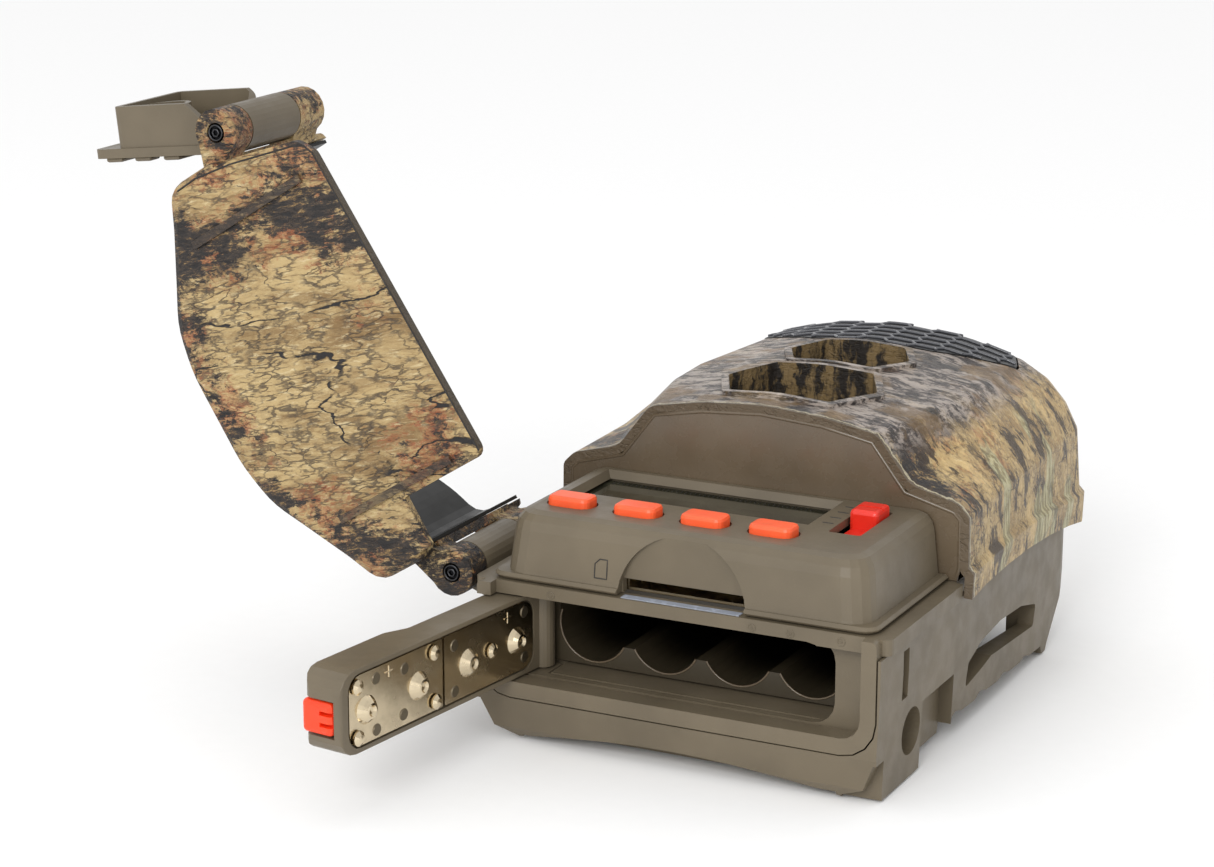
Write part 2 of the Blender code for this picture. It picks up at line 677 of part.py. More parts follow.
def hood_liner():
    """The plain wall between the control panel and the hood's lip."""
    half = [(41.1, 32.4)] + drawn_in(hood_section(0.0)[2:], HOOD_WALL + GAP + 0.1)
    outline = half + [(-x, z) for x, z in reversed(half[:-1])]
    return finish(slab("hood_liner", outline, LIP_Y + 0.1, LIP_Y + 1.9, "Y"), LOOKS["tan_plastic"])


def optics():
    """The infrared lamps, the lens and the movement sensor, from the rear to the front."""
    middle = Vector((0.0, 54.0))
    outline = [tuple(middle + (Vector(corner) - middle) * 0.985) for corner in LAMPS]
    grille = slab("led_cover", rounded(outline, 2.0, 2), 50.0, 80.0, "Z")
    keep_common(grille, hood_solid("cutter", -0.2))
    cut(grille, hood_solid("cutter", 1.6))
    finish(grille, LOOKS["black_plastic"])
    leds = box("led_board", (-22.0, 46.0, 49.0), (22.0, 60.0, 50.4))
    for x in range(-18, 19, 6):
        for y in (50.0, 56.5):
            join(leds, turned("led", [(0.0, 5.6), (1.6, 4.9), (2.4, 3.2), (2.4, 0.0), (0.0, 0.0)],
                              (x, y, 50.0), "Z", 8))
    finish(leds, LOOKS["circuit_board"])
    for name, look in (("pir_lens", "milky_plastic"), ("lens_window", "dark_glass")):
        y, half_x, half_y, bottom = WINDOWS[name]
        pane = slab(name, rounded(hexagon(WINDOW_X, y, half_x + 0.9, half_y + 0.8), 1.2, 2),
                    bottom - GAP - 1.6, bottom - GAP, "Z")
        finish(pane, LOOKS[look])
    outline = [(0.0, 55.0), (3.4, 55.0), (5.2, 54.4), (5.6, 53.0), (5.6, 47.0), (6.6, 46.8), (6.6, 36.4),
               (0.0, 36.4)]
    barrel = turned("lens_barrel", outline, (WINDOW_X, WINDOWS["lens_window"][0], 0.0), "Z", 24)
    finish(barrel, LOOKS["black_plastic"])
    outline = [(0.0, 46.0), (3.6, 46.0), (4.1, 45.5), (4.1, 41.0), (4.7, 40.6), (4.7, 36.4), (0.0, 36.4)]
    sensor = turned("pir_sensor", outline, (WINDOW_X, WINDOWS["pir_lens"][0], 0.0), "Z", 20)
    finish(sensor, LOOKS["steel"])


# ---------------------------------------------------------------- battery door

def battery_door():
    """The door, thinner towards its hinge, with an inset for the contact plates."""
    above = [(DOOR_AXIS.x + 2.2, DOOR_THIN_Y), (2.0, DOOR_THIN_Y), (7.0, DOOR_OUTER_Y),
             (DOOR_END, DOOR_OUTER_Y), (DOOR_END, DOOR_INNER_Y), (DOOR_AXIS.x + 1.0, DOOR_INNER_Y)]
    above = rounded(above, [0, 3.0, 3.0, 2.2, 0.8, 0], 4)
    door = slab("battery_door", above, DOOR_LOW, DOOR_HIGH, "Z")
    end = rounded(rectangle(-45.0, DOOR_END, DOOR_LOW, DOOR_HIGH), [0, 4.3, 4.3, 0])
    keep_common(door, slab("cutter", end, -60.0, -30.0, "Y"))
    soften(door, 0.6, 2)
    knuckle = cylinder("knuckle", (DOOR_AXIS.x, DOOR_AXIS.y, (DOOR_LOW + DOOR_HIGH) / 2), 2.4,
                       DOOR_HIGH - DOOR_LOW, "Z", 20)
    join(door, knuckle)
    pin_way = cylinder("cutter", (DOOR_AXIS.x, DOOR_AXIS.y, 20.0), 1.3, 40.0, "Z", 16)
    edge = rounded(rectangle(PLATE_LEFT - 0.4, PLATE_RIGHT + 0.4, DOOR_LOW + 0.9, DOOR_HIGH - 0.9), 3.4)
    inset = slab("cutter", edge, DOOR_INNER_Y - 0.9, DOOR_INNER_Y + 2.0, "Y")
    pocket = box("cutter", (25.6, DOOR_OUTER_Y - 2, 16.6), (40.0, DOOR_INNER_Y - 1.6, 23.8))
    pilots = [cylinder("cutter", (x, DOOR_INNER_Y, z), 1.0, 9.0, "Y", 12) for x, z in SCREW_PLACES]
    cut(door, pin_way, inset, pocket, *pilots)
    return finish(door, LOOKS["tan_plastic"])


def door_contacts():
    """Two steel plates, each with two domed contacts, and the screws that hold them."""
    face = DOOR_INNER_Y - 0.6
    low, high = DOOR_LOW + 1.3, DOOR_HIGH - 1.3
    for side, x0, x1, radii in (("left", PLATE_LEFT, -0.3, [3.0, 0.4, 0.4, 3.0]),
                                ("right", 0.3, PLATE_RIGHT, [0.4, 3.0, 3.0, 0.4])):
        outline = rounded(rectangle(x0, x1, low, high), radii)
        plate = slab(f"door_contact_{side}", outline, face, face + 0.5, "Y")
        for x in TUBE_XS:
            if x0 < x < x1:
                dome = [(0.0, 1.3), (0.7, 1.4), (1.1, 1.9), (1.5, 1.8), (2.2, 1.1), (3.0, 0.0), (0.0, 0.0)]
                stud = turned("stud", dome, (x, face + 0.2, TUBE_Z - 0.7), "Y", 20)
                flip_y(stud, face + 0.2)
                join(plate, stud)
        cut(plate, *[cylinder("cutter", (x, face, z), 1.0, 6.0, "Y", 12) for x, z in SCREW_PLACES])
        finish(plate, LOOKS["steel"])


SCREW_PLACES = [(26.0, 25.8), (26.0, 16.0), (3.2, 25.8), (2.8, 16.0), (-14.8, 21.0)]


def flip_y(shape, middle):
    """Mirror an object in a plane across Y, so that it stands along +Y."""
    flip = Matrix.Translation((0, 2 * middle * MM, 0)) @ Matrix.Scale(-1.0, 4, (0, 1, 0))
    shape.data.transform(flip)
    shape.data.flip_normals()


def door_screws():
    for number, (x, z) in enumerate(SCREW_PLACES, 1):
        head = turned(f"door_screw_{number}", [(0.0, 1.0), (0.8, 0.9), (1.5, 0.35), (1.5, 0.0), (0.7, 0.0),
                                               (0.7, -3.0), (0.0, -3.0)],
                      (x, DOOR_INNER_Y + 0.2, z), "Y", 12)
        flip_y(head, DOOR_INNER_Y + 0.2)
        finish(head, LOOKS["steel"])


def battery_door_latch():
    """The thumb latch in the free end of the door, with two slots in its face."""
    latch = box("battery_door_latch", (27.2, DOOR_OUTER_Y - 0.1, 17.0),
                (DOOR_END + 0.3, DOOR_INNER_Y - 1.9, 23.4))
    soften(latch, 0.9, 3)
    slots = [box("cutter", (DOOR_END - 1.2, -45.6, z), (40.0, -30.0, z + 0.8)) for z in (18.7, 20.9)]
    cut(latch, *slots)
    return finish(latch, LOOKS["red_plastic"])


def door_hinge_pin():
    pin = cylinder("door_hinge_pin", (DOOR_AXIS.x, DOOR_AXIS.y, 20.0), 1.0, 18.4, "Z", 16)
    return finish(pin, LOOKS["steel"])


# ---------------------------------------------------------------- cover

def cover_section(inset, bottom):
    """The cover's outline across the camera, drawn in by an inset."""
    half = [(43.8, 45.0), (36.6, 48.9), (27.0, 54.8), (20.0, 59.2), (10.4, 61.4)]
    half = [(x - inset, z - inset * (0.55 if x > 40 else 0.95)) for x, z in half]
    outline = mirrored([(43.8 - inset, bottom)] + half)
    radii = [0.0, 4.5, 30.0, 0.0, 20.0, 30.0]
    return rounded(outline, radii + radii[::-1], 3)


def cover_shell():
    shell = slab("cover_shell", cover_section(0.0, 32.7), COVER_FRONT, COVER_REAR, "Y")
    soft = shell.modifiers.new("Round", "BEVEL")
    soft.width = 1.6 * MM
    soft.segments = 2
    soft.limit_method = "ANGLE"
    soft.angle_limit = math.radians(60.0)
    bake(shell)
    cut(shell, slab("cutter", cover_section(COVER_WALL, 20.0), COVER_FRONT + COVER_WALL, 0.0, "Y"))
    tongue = [(-31.6, 9.4), (34.6, 10.8), (38.2, 13.2), (42.2, 29.0), (42.6, 38.0), (-42.6, 38.0),
              (-42.2, 30.0), (-31.6, 30.0)]
    plate = slab("tongue", rounded(tongue, [2.0, 3.0, 3.0, 0.0, 0.0, 0.0, 0.5, 0.5]), COVER_FRONT,
                 COVER_FRONT + COVER_WALL, "Y")
    join(shell, plate)
    return shell


def cover_lugs(shell):
    pieces = []
    for way in (-1, 1):
        for low, high in LUGS:
            ear = arc((way * PIN_X, PIN_Z), BARREL_R, 90, 90 - way * 265, 14)
            ear += [(way * 42.6, 33.0), (way * 42.6, 38.6)]
            pieces.append(slab("ear", ear, low, high, "Y"))
        # fills the rounded rim beside the fixed barrel
        x0, x1 = sorted((way * 41.9, way * 43.7))
        pieces.append(box("sill", (x0, LUGS[0][0] + 2.0, 32.4), (x1, LUGS[1][1] - 2.0, 37.0)))
    join(shell, *pieces)
    holes = [cylinder("cutter", (way * PIN_X, -34.0, PIN_Z), PIN_R + GAP, 60.0, "Y")
             for way in (-1, 1)]
    cut(shell, *holes)
    return shell


def cover_ribs(shell):
    """Two raised ribs across the front wall."""
    ribs = []
    for x in RIB_XS:
        ribs.append(box("rib", (x - 0.8, COVER_FRONT - 0.8, 16.0), (x + 0.8, COVER_FRONT + 0.5, 45.4)))
    join(shell, *ribs)
    return finish(shell, LOOKS["camo"])


def cover_liner():
    """The plain inner skin, which also stiffens the front wall."""
    front = COVER_FRONT + COVER_WALL + GAP
    skin = slab("cover_liner", cover_section(COVER_WALL + GAP, 33.4), front, -13.4, "Y")
    cut(skin, slab("cutter", cover_section(COVER_WALL + GAP + 0.7, 20.0), front + 0.7, 0.0, "Y"))
    return finish(skin, LOOKS["tan_plastic"])


def hinge_pins():
    for name, way in (("cover_hinge_pin", -1), ("latch_pin", 1)):
        pin = cylinder(name, (way * PIN_X, -33.7, PIN_Z), PIN_R, 32.0, "Y", 20)
        finish(pin, LOOKS["black_steel"])


def latch_lever():
    """The padlock latch, modelled hanging down the side of the case."""
    low, high = MIDDLE_BARREL
    barrel = cylinder("latch_lever", (PIN_X, (low + high) / 2, PIN_Z), BARREL_R, high - low, "Y")
    plate = slab("plate", rounded(rectangle(-44.0, -18.0, -2.6, PIN_Z), [1.6, 1.6, 0.0, 0.0]),
                 PIN_X + 3.1, PIN_X + 5.0, "X")
    cut(plate, box("cutter", (0.0, -26.2, PIN_Z - 6.0), (90.0, 0.0, 60.0)),
        box("cutter", (0.0, -60.0, PIN_Z - 6.0), (90.0, -43.9, 60.0)))
    rim = slab("rim", rounded([(-43.6, 3.0), (-20.0, 3.0), (-20.0, 22.0), (-26.0, 25.4), (-43.6, 25.4)],
                              1.6, 3), PIN_X - 5.3, PIN_X + 4.0, "X")
    slope = [(PIN_X - 9.0, 20.6), (PIN_X - 5.3, 20.6), (PIN_X - 2.0, 24.4), (PIN_X - 2.0, 30.0),
             (PIN_X - 9.0, 30.0)]
    cut(rim, slab("cutter", slope, -60.0, -10.0, "Y"))
    soften(rim, 0.45, 2)
    hollow = slab("cutter", [(-42.2, 4.4), (-21.4, 4.4), (-21.4, 21.4), (-26.6, 24.0), (-42.2, 24.0)],
                  PIN_X - 9.0, PIN_X + 3.4, "X")
    cut(rim, hollow)
    boss = cylinder("boss", (PIN_X - 0.3, BORE_Y, BORE_Z), 5.8, 8.2, "X", 24)
    join(barrel, plate, rim, boss)
    cut(barrel,
        cylinder("cutter", (PIN_X, BORE_Y, BORE_Z), BORE_R, 30.0, "X", 24),
        cylinder("cutter", (PIN_X, -35.0, PIN_Z), PIN_R + GAP, 60.0, "Y"))
    for i in range(3):
        ridge = box("ridge", (PIN_X + 4.8, -43.6, 7.0 * i - 0.2), (PIN_X + 5.9, -18.4, 7.0 * i + 3.8))
        soften(ridge, 0.5, 2)
        cut(ridge, cylinder("cutter", (PIN_X, BORE_Y, BORE_Z), BORE_R + 0.6, 30.0, "X", 24))
        join(barrel, ridge)
    return finish(barrel, LOOKS["tan_plastic"])


SCREW_SPOTS = [(x, y) for x in (-27.0, 27.0) for y in (-8.0, 48.0)]


def case_screws():
    """Screws up through the roof of the channel."""
    for number, (x, y) in enumerate(SCREW_SPOTS, 1):
        shank = [(0.0, SHELF_Z), (0.9, SHELF_Z), (0.9, 10.9)]
        head = [(2.4, 10.9), (2.6, 10.4), (2.0, 9.4), (0.0, 9.2)]
        finish(turned(f"case_screw_{number}", shank + head, (x, y, 0.0), "Z", 14), LOOKS["black_steel"])


# ---------------------------------------------------------------- assembly

def pivot(name, place, parent=None):
    """An empty on a joint's axis."""
    result = bpy.data.objects.new(name, None)
    PARTS.objects.link(result)
    result.location = Vector(place) * MM
    if parent:
        result.parent = parent
        result.matrix_parent_inverse = Matrix.Translation(-parent.location)
    return result


def hang(empty, names):
    """Parent the named pieces, which keep their place while the empty is unturned."""
    base = empty.matrix_basis.to_translation()
    for name in names:
        piece = bpy.data.objects[name]
        piece.parent = empty
        piece.matrix_parent_inverse = Matrix.Translation(-base)


def pose_open():
    door = pivot("battery_door_axis", DOOR_AXIS)
    hang(door, ["battery_door", "door_contact_left", "door_contact_right", "battery_door_latch"]
         + [item.name for item in PARTS.objects if item.name.startswith("door_screw_")])
    door.rotation_euler.z = math.radians(-DOOR_OPEN)
    cover = pivot("cover_axis", (-PIN_X, 0.0, PIN_Z))
    hang(cover, ["cover_shell", "cover_liner", "latch_pin"])
    lever = pivot("lever_axis", (PIN_X, 0.0, PIN_Z), cover)
    hang(lever, ["latch_lever"])
    cover.rotation_euler.y = math.radians(-COVER_OPEN)
    lever.rotation_euler.y = math.radians(-LEVER_OPEN)
    for item in PARTS.objects:
        if item.parent is None:
            item.location.y += ORIGIN_SHIFT * MM


clear_scene()
PARTS = make_collection(NAME)
LOOKS = {
    "tan_plastic": material("tan_plastic", TAN, 0.5),
    "dark_plastic": material("dark_plastic", TAN_DARK, 0.45),
    "camo": material("camo", CAMO, 0.6),
    "orange_rubber": material("orange_rubber", ORANGE, 0.45),
    "red_plastic": material("red_plastic", RED, 0.35),
    "steel": material("steel", STEEL, 0.28, 1.0),
    "black_steel": material("black_steel", BLACK, 0.35, 0.6),
    "black_plastic": material("black_plastic", BLACK, 0.4),
    "lcd_glass": material("lcd_glass", (0.045, 0.05, 0.035), 0.12),
    "dark_glass": material("dark_glass", (0.015, 0.015, 0.02), 0.05),
    "milky_plastic": material("milky_plastic", (0.22, 0.21, 0.19), 0.35),
    "circuit_board": material("circuit_board", GREEN_BOARD, 0.5),
}

back_case()
build_mid_frame()
battery_tray()
battery_springs()
control_panel()
buttons()
mode_switch()
electronics()
front_hood()
hood_liner()
optics()
battery_door()
door_contacts()
door_screws()
battery_door_latch()
door_hinge_pin()
cover_lugs(cover_shell())
cover_ribs(bpy.data.objects["cover_shell"])
cover_liner()
hinge_pins()
latch_lever()
case_screws()
pose_open()
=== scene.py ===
"""Looks of the open trail camera: materials, fine pieces, light and camera.

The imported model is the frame. Lengths are in millimetres, which MM turns into metres, unless a comment
says that they are in metres. Patterns are drawn in metres, as are the lights and the camera.
"""
import json
import math

import bmesh
import bpy
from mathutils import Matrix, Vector
from mathutils.bvhtree import BVHTree


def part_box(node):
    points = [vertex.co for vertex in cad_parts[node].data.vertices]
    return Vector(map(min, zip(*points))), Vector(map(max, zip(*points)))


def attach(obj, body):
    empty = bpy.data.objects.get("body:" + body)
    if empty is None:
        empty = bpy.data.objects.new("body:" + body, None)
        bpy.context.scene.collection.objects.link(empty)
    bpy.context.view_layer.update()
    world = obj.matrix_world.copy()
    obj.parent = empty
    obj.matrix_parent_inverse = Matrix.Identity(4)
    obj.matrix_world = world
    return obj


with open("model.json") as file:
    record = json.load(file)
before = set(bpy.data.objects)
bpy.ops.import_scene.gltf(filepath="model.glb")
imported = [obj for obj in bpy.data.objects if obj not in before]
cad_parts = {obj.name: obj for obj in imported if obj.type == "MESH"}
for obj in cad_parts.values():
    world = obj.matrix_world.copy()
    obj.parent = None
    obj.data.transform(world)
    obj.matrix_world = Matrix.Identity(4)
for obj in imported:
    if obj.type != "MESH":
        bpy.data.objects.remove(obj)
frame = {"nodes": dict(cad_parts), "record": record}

MM = 0.001
COVER_TURN = 122.0                              # brings the open cover back to its shut place
COVER_SHIFT = (-0.10139, 0.0, 0.00720)
HINGE_X, HINGE_Z = -48.7, 31.7                  # the cover's hinge pin
COVER_FACE = -24.6                              # the cover's front wall
DOOR_TURN = 97.5
DOOR_X, DOOR_Y = -33.0, -11.7                   # the battery door's hinge pin
TUBE_PITCH, TUBE_RADIUS, TUBE_Z = 15.4, 7.4, 21.3
TRAY_FACE = -8.9                                # the front of the battery tray
AHEAD_Y = -60.0                                 # well in front of the panel
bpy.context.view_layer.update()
SCENE = bpy.context.scene


def colour(red, green, blue):
    """An sRGB colour from 0 to 255 as the linear RGBA that nodes take."""
    linear = [((c / 255 + 0.055) / 1.055) ** 2.4 if c > 10 else c / 255 / 12.92 for c in (red, green, blue)]
    return (*linear, 1.0)


# ---------------------------------------------------------------- materials

MIX_FIRST, MIX_SECOND, MIX_RESULT = 6, 7, 2     # the colour sockets of a mix node


class Look:
    """A material whose nodes are added one at a time; what draws a pattern returns its output socket."""

    def __init__(self, name, roughness=0.5, metallic=0.0, specular=0.5):
        self.material = bpy.data.materials.new(name)
        self.material.use_nodes = True
        self.nodes = self.material.node_tree.nodes
        self.shader = self.nodes["Principled BSDF"]
        self.set("Roughness", roughness)
        self.set("Metallic", metallic)
        self.set("Specular IOR Level", specular)

    def add(self, kind, inputs, **settings):
        node = self.nodes.new("ShaderNode" + kind)
        for key, value in settings.items():
            setattr(node, key, value)
        for key, value in inputs.items():
            self.put(node.inputs[key], value)
        return node

    def put(self, socket, value):
        if isinstance(value, bpy.types.NodeSocket):
            self.material.node_tree.links.new(value, socket)
        else:
            socket.default_value = value

    def set(self, name, value):
        self.put(self.shader.inputs[name], value)

    def place(self, turn=(0, 0, 0), scale=(1, 1, 1), shift=(0, 0, 0)):
        """Object coordinates, turned by degrees and stretched, so a pattern moves with its piece."""
        where = self.add("TexCoord", {}).outputs["Object"]
        turn = [math.radians(a) for a in turn]
        return self.add("Mapping", {"Vector": where, "Rotation": turn, "Scale": scale,
                                    "Location": shift}).outputs["Vector"]

    def warp(self, vector, scale, amount):
        """Shift a vector by noise, to bend what is drawn with it."""
        noise = self.add("TexNoise", {"Vector": vector, "Scale": scale, "Detail": 4.0}).outputs["Color"]
        centred = self.add("VectorMath", {0: noise, 1: (0.5, 0.5, 0.5)}, operation="SUBTRACT").outputs[0]
        shift = self.add("VectorMath", {0: centred, "Scale": amount}, operation="SCALE").outputs[0]
        return self.add("VectorMath", {0: vector, 1: shift}, operation="ADD").outputs[0]

    def noise(self, vector, scale, detail=4.0, roughness=0.55):
        inputs = {"Vector": vector, "Scale": scale, "Detail": detail, "Roughness": roughness}
        return self.add("TexNoise", inputs).outputs["Fac"]

    def cells(self, vector, scale):
        """Distance to the nearest edge of a network of cells."""
        cells = self.add("TexVoronoi", {"Vector": vector, "Scale": scale}, feature="DISTANCE_TO_EDGE")
        return cells.outputs["Distance"]

    def level(self, value, low, high, start=0.0, end=1.0):
        """Rise smoothly from start to end as value goes from low to high."""
        inputs = {"Value": value, "From Min": low, "From Max": high, "To Min": start, "To Max": end}
        return self.add("MapRange", inputs, interpolation_type="SMOOTHSTEP").outputs["Result"]

    def math(self, operation, first, second=0.0):
        return self.add("Math", {0: first, 1: second}, operation=operation).outputs["Value"]

    def times(self, first, second):
        return self.math("MULTIPLY", first, second)

    def away(self, value, middle):
        """How far a value is from a middle value."""
        return self.math("ABSOLUTE", self.math("SUBTRACT", value, middle))

    def mix(self, share, first, second):
        """A share of the second colour over the first."""
        node = self.add("Mix", {}, data_type="RGBA")
        self.put(node.inputs["Factor"], share)
        self.put(node.inputs[MIX_FIRST], first)
        self.put(node.inputs[MIX_SECOND], second)
        return node.outputs[MIX_RESULT]

    def bump(self, *layers):
        """Bump from (height, strength, distance in mm) layers, one on top of the other."""
        normal = None
        for height, strength, distance in layers:
            inputs = {"Height": height, "Strength": strength, "Distance": distance * MM}
            if normal:
                inputs["Normal"] = normal
            normal = self.add("Bump", inputs).outputs["Normal"]
        self.set("Normal", normal)


def moulded(name, base, rough=0.45, grain=0.35, specular=0.5):
    """Moulded plastic: fine spark-eroded grain, faint clouding and slightly uneven gloss."""
    look = Look(name, rough, specular=specular)
    where = look.place()
    cloud = look.noise(where, 45.0, 3.0)
    lighter = tuple(min(1.0, c * 1.12) for c in base[:3]) + (1.0,)
    darker = tuple(c * 0.88 for c in base[:3]) + (1.0,)
    speck = look.level(look.noise(where, 1600.0, 2.0), 0.62, 0.75)
    tone = look.mix(look.level(cloud, 0.3, 0.7), darker, lighter)
    look.set("Base Color", look.mix(look.times(speck, 0.25), tone, lighter))
    look.set("Roughness", look.level(look.noise(where, 220.0, 3.0), 0.3, 0.7, rough - 0.05, rough + 0.07))
    look.bump((look.noise(where, 2600.0, 3.0, 0.6), grain, 0.05), (look.noise(where, 90.0, 2.0), 0.08, 0.3))
    return look.material


STRAW = colour(176, 152, 106)
PALE = colour(206, 190, 150)
BARK = colour(118, 92, 55)
UMBER = colour(54, 45, 38)
RUST = colour(140, 72, 38)
SHADE = colour(25, 22, 22)

GRIT_REACH = 0.5            # how much the fine grit frays the edge of a dark area


def stretched(look, vector, scale):
    return look.add("Mapping", {"Vector": vector, "Scale": scale}).outputs["Vector"]


def turned(look, vector, degrees):
    turn = [math.radians(a) for a in degrees]
    return look.add("Mapping", {"Vector": vector, "Rotation": turn}).outputs["Vector"]


def parts(look, vector):
    return look.add("SeparateXYZ", {"Vector": vector}).outputs


def total(look, *values):
    result = values[0]
    for value in values[1:]:
        result = look.math("ADD", result, value)
    return result


def straw_wood(look, flat, bent):
    """Straw-coloured wood with long fibres; also gives its tone and its fibres."""
    fibre = look.noise(stretched(look, look.warp(flat, 150.0, 0.004), (1.3, 1.3, 0.8)), 900.0, 6.0, 0.75)
    tone = look.noise(bent, 80.0, 9.0, 0.75)
    wood = look.mix(look.level(tone, 0.36, 0.58), BARK, STRAW)
    wood = look.mix(look.level(fibre, 0.52, 0.70, 0.0, 0.75), wood, PALE)
    wood = look.mix(look.level(fibre, 0.46, 0.34, 0.0, 0.8), wood, BARK)
    return wood, tone, fibre


def gritty_shade(look, wood, plain, flat, fibre, grit, shade):
    """Dark flecked areas where shade is high, with rust just outside them and in a few spots of its own."""
    cloud = look.math("ADD", look.noise(look.warp(plain, 45.0, 0.02), 30.0, 9.0, 0.74), shade)
    mixed = look.math("ADD", cloud, look.times(grit, GRIT_REACH))
    stain = look.noise(look.warp(plain, 260.0, 0.006), 75.0, 9.0, 0.78)
    halo = look.times(look.level(mixed, 0.62, 0.70), look.level(stain, 0.46, 0.56))
    halo = look.math("MAXIMUM", halo, look.level(stain, 0.62, 0.72, 0.0, 0.7))
    wood = look.mix(look.times(halo, look.level(fibre, 0.35, 0.6, 0.3, 0.85)), wood, RUST)
    fleck = look.noise(look.warp(flat, 500.0, 0.004), 560.0, 6.0, 0.8)
    dark = look.mix(look.level(fleck, 0.42, 0.56), SHADE, UMBER)
    dark = look.mix(look.level(fleck, 0.55, 0.60), dark, BARK)
    dark = look.mix(look.level(fleck, 0.60, 0.65, 0.0, 0.7), dark, STRAW)
    return look.mix(look.level(mixed, 0.69, 0.745), wood, dark)


def cracks(look, plain, flat):
    """Masks of the long cracks that break off and of the short branching checks."""
    drift = look.warp(look.warp(flat, 70.0, 0.007), 320.0, 0.0045)
    rift = look.away(look.noise(drift, 50.0, 1.0), 0.5)
    broken = look.level(look.noise(plain, 50.0, 4.0), 0.48, 0.54)
    crack = look.times(look.level(rift, 0.0085, 0.004), broken)
    split = look.noise(look.warp(look.warp(flat, 130.0, 0.005), 600.0, 0.0025), 120.0, 2.0, 0.6)
    checks = look.level(look.away(split, 0.5), 0.012, 0.004)
    return crack, look.times(checks, look.level(look.noise(plain, 95.0, 5.0), 0.46, 0.56))


def bark(look, plain, flat, shade):
    """Printed bark. Gives its colour, its tone, the height of its fibres and cracks, and its grit."""
    bent = look.warp(look.warp(flat, 60.0, 0.014), 330.0, 0.0035)
    wood, tone, fibre = straw_wood(look, flat, bent)
    wrinkle = look.level(look.cells(look.warp(flat, 700.0, 0.003), 520.0), 0.12, 0.02)
    wrinkle = look.times(wrinkle, look.level(look.noise(plain, 160.0, 5.0), 0.38, 0.56))
    wood = look.mix(look.times(wrinkle, 0.75), wood, UMBER)
    grit = look.noise(bent, 560.0, 7.0, 0.78)
    wood = gritty_shade(look, wood, plain, flat, fibre, grit, shade)
    crack, checks = cracks(look, plain, flat)
    wood = look.mix(look.times(checks, 0.75), wood, UMBER)
    wood = look.mix(crack, wood, SHADE)
    lines = look.math("MAXIMUM", crack, look.times(checks, 0.6))
    lines = look.math("MAXIMUM", lines, look.times(wrinkle, 0.35))
    height = look.math("SUBTRACT", look.times(fibre, 0.6), lines)
    return wood, tone, height, grit


# The cover's film, in metres on the shut cover
FILM_TURN = -19.0                               # of its grain in the cover's plane, in degrees
FILM_STRETCH = (1.2, 1.0, 0.36)                 # along its grain
BAND_SLOPE, BAND_START = 0.3, 0.0165            # a dark band across the cover below the upper rib
EDGE_SLOPE, EDGE_START = 0.0211, 0.01007        # the straight edge, which slopes a little
RIB_HEIGHT = 0.4
COVER_SHADE = -0.118
EDGE_PLASTIC = colour(70, 60, 46)


def cover_shade(look, x, z):
    """Where the cover's film is dark and where it is bare."""
    band = look.math("SUBTRACT", x, look.math("ADD", look.times(z, BAND_SLOPE), BAND_START))
    band = look.level(look.math("ABSOLUTE", band), 0.011, 0.002, 0.0, 0.12)
    top = look.level(x, 0.022, 0.034, 0.0, 0.085)
    far = look.times(look.level(x, 0.012, 0.02), look.level(z, 0.034, 0.050, 0.0, 0.10))
    foot = look.level(x, -0.024, -0.040, 0.0, 0.14)
    edge = look.level(z, 0.046, 0.058, 0.0, 0.13)
    bare = look.level(x, -0.024, -0.008, 0.0, -0.05)
    lug = look.level(x, 0.041, 0.045, 0.0, 0.05)
    return total(look, band, top, far, foot, edge, bare, lug, COVER_SHADE)


def cover_film():
    """The cover's film; the pattern is laid out on the cover as if it were shut."""
    look = Look("bark_film_cover", 0.5, specular=0.4)
    plain = look.place(turn=(0, COVER_TURN, 0), shift=COVER_SHIFT)
    flat = stretched(look, turned(look, plain, (0, FILM_TURN, 0)), FILM_STRETCH)
    x, y, z = parts(look, plain)
    wood, tone, height, grit = bark(look, plain, flat, cover_shade(look, x, z))
    proud = look.level(y, COVER_FACE * MM, (COVER_FACE - RIB_HEIGHT) * MM)
    wood = look.mix(look.times(proud, 0.7), wood, UMBER)
    # the straight edge is bare plastic
    slope = look.math("ADD", look.times(x, EDGE_SLOPE), EDGE_START)
    wood = look.mix(look.level(look.math("SUBTRACT", z, slope), 0.0003, 0.0001), wood, EDGE_PLASTIC)
    look.set("Base Color", wood)
    look.set("Roughness", look.level(grit, 0.3, 0.7, 0.42, 0.6))
    look.bump((tone, 0.5, 0.6), (height, 0.8, 0.45), (grit, 0.35, 0.2))
    return look.material


# The hood's film, in metres
CROWN = (0.0535, 0.0590)                        # the height at which the crown's streaks set in
HOOD_SHADE = -0.05
REED_TURN = 24.0                                # degrees
RECESS_X = 0.0004
RECESSES = ((0.0373, 0.0162, 0.0116), (0.0624, 0.0132, 0.0092))     # middle, half width, half length
RECESS_SLANT = 0.34                             # how far their ends slope in
LIP_FRONT = 0.0173
TEAR_DEPTH = 0.0026
TEAR_PALE = colour(176, 166, 140)


def crown_grain(look, wavy, streak):
    """Grey-violet streaks with dark lines and a few brown clouds."""
    ridge = look.noise(stretched(look, wavy, (0.10, 0.5, 0.5)), 420.0, 3.0, 0.6)
    # the pale streak colour is lightened as a painted sheen on the crown
    grain = look.mix(look.level(streak, 0.44, 0.56), colour(50, 43, 42), colour(182, 170, 160))
    grain = look.mix(look.level(ridge, 0.44, 0.38, 0.0, 0.85), grain, colour(24, 21, 21))
    return look.mix(look.level(look.noise(wavy, 75.0, 5.0), 0.54, 0.62, 0.0, 0.8), grain, BARK)


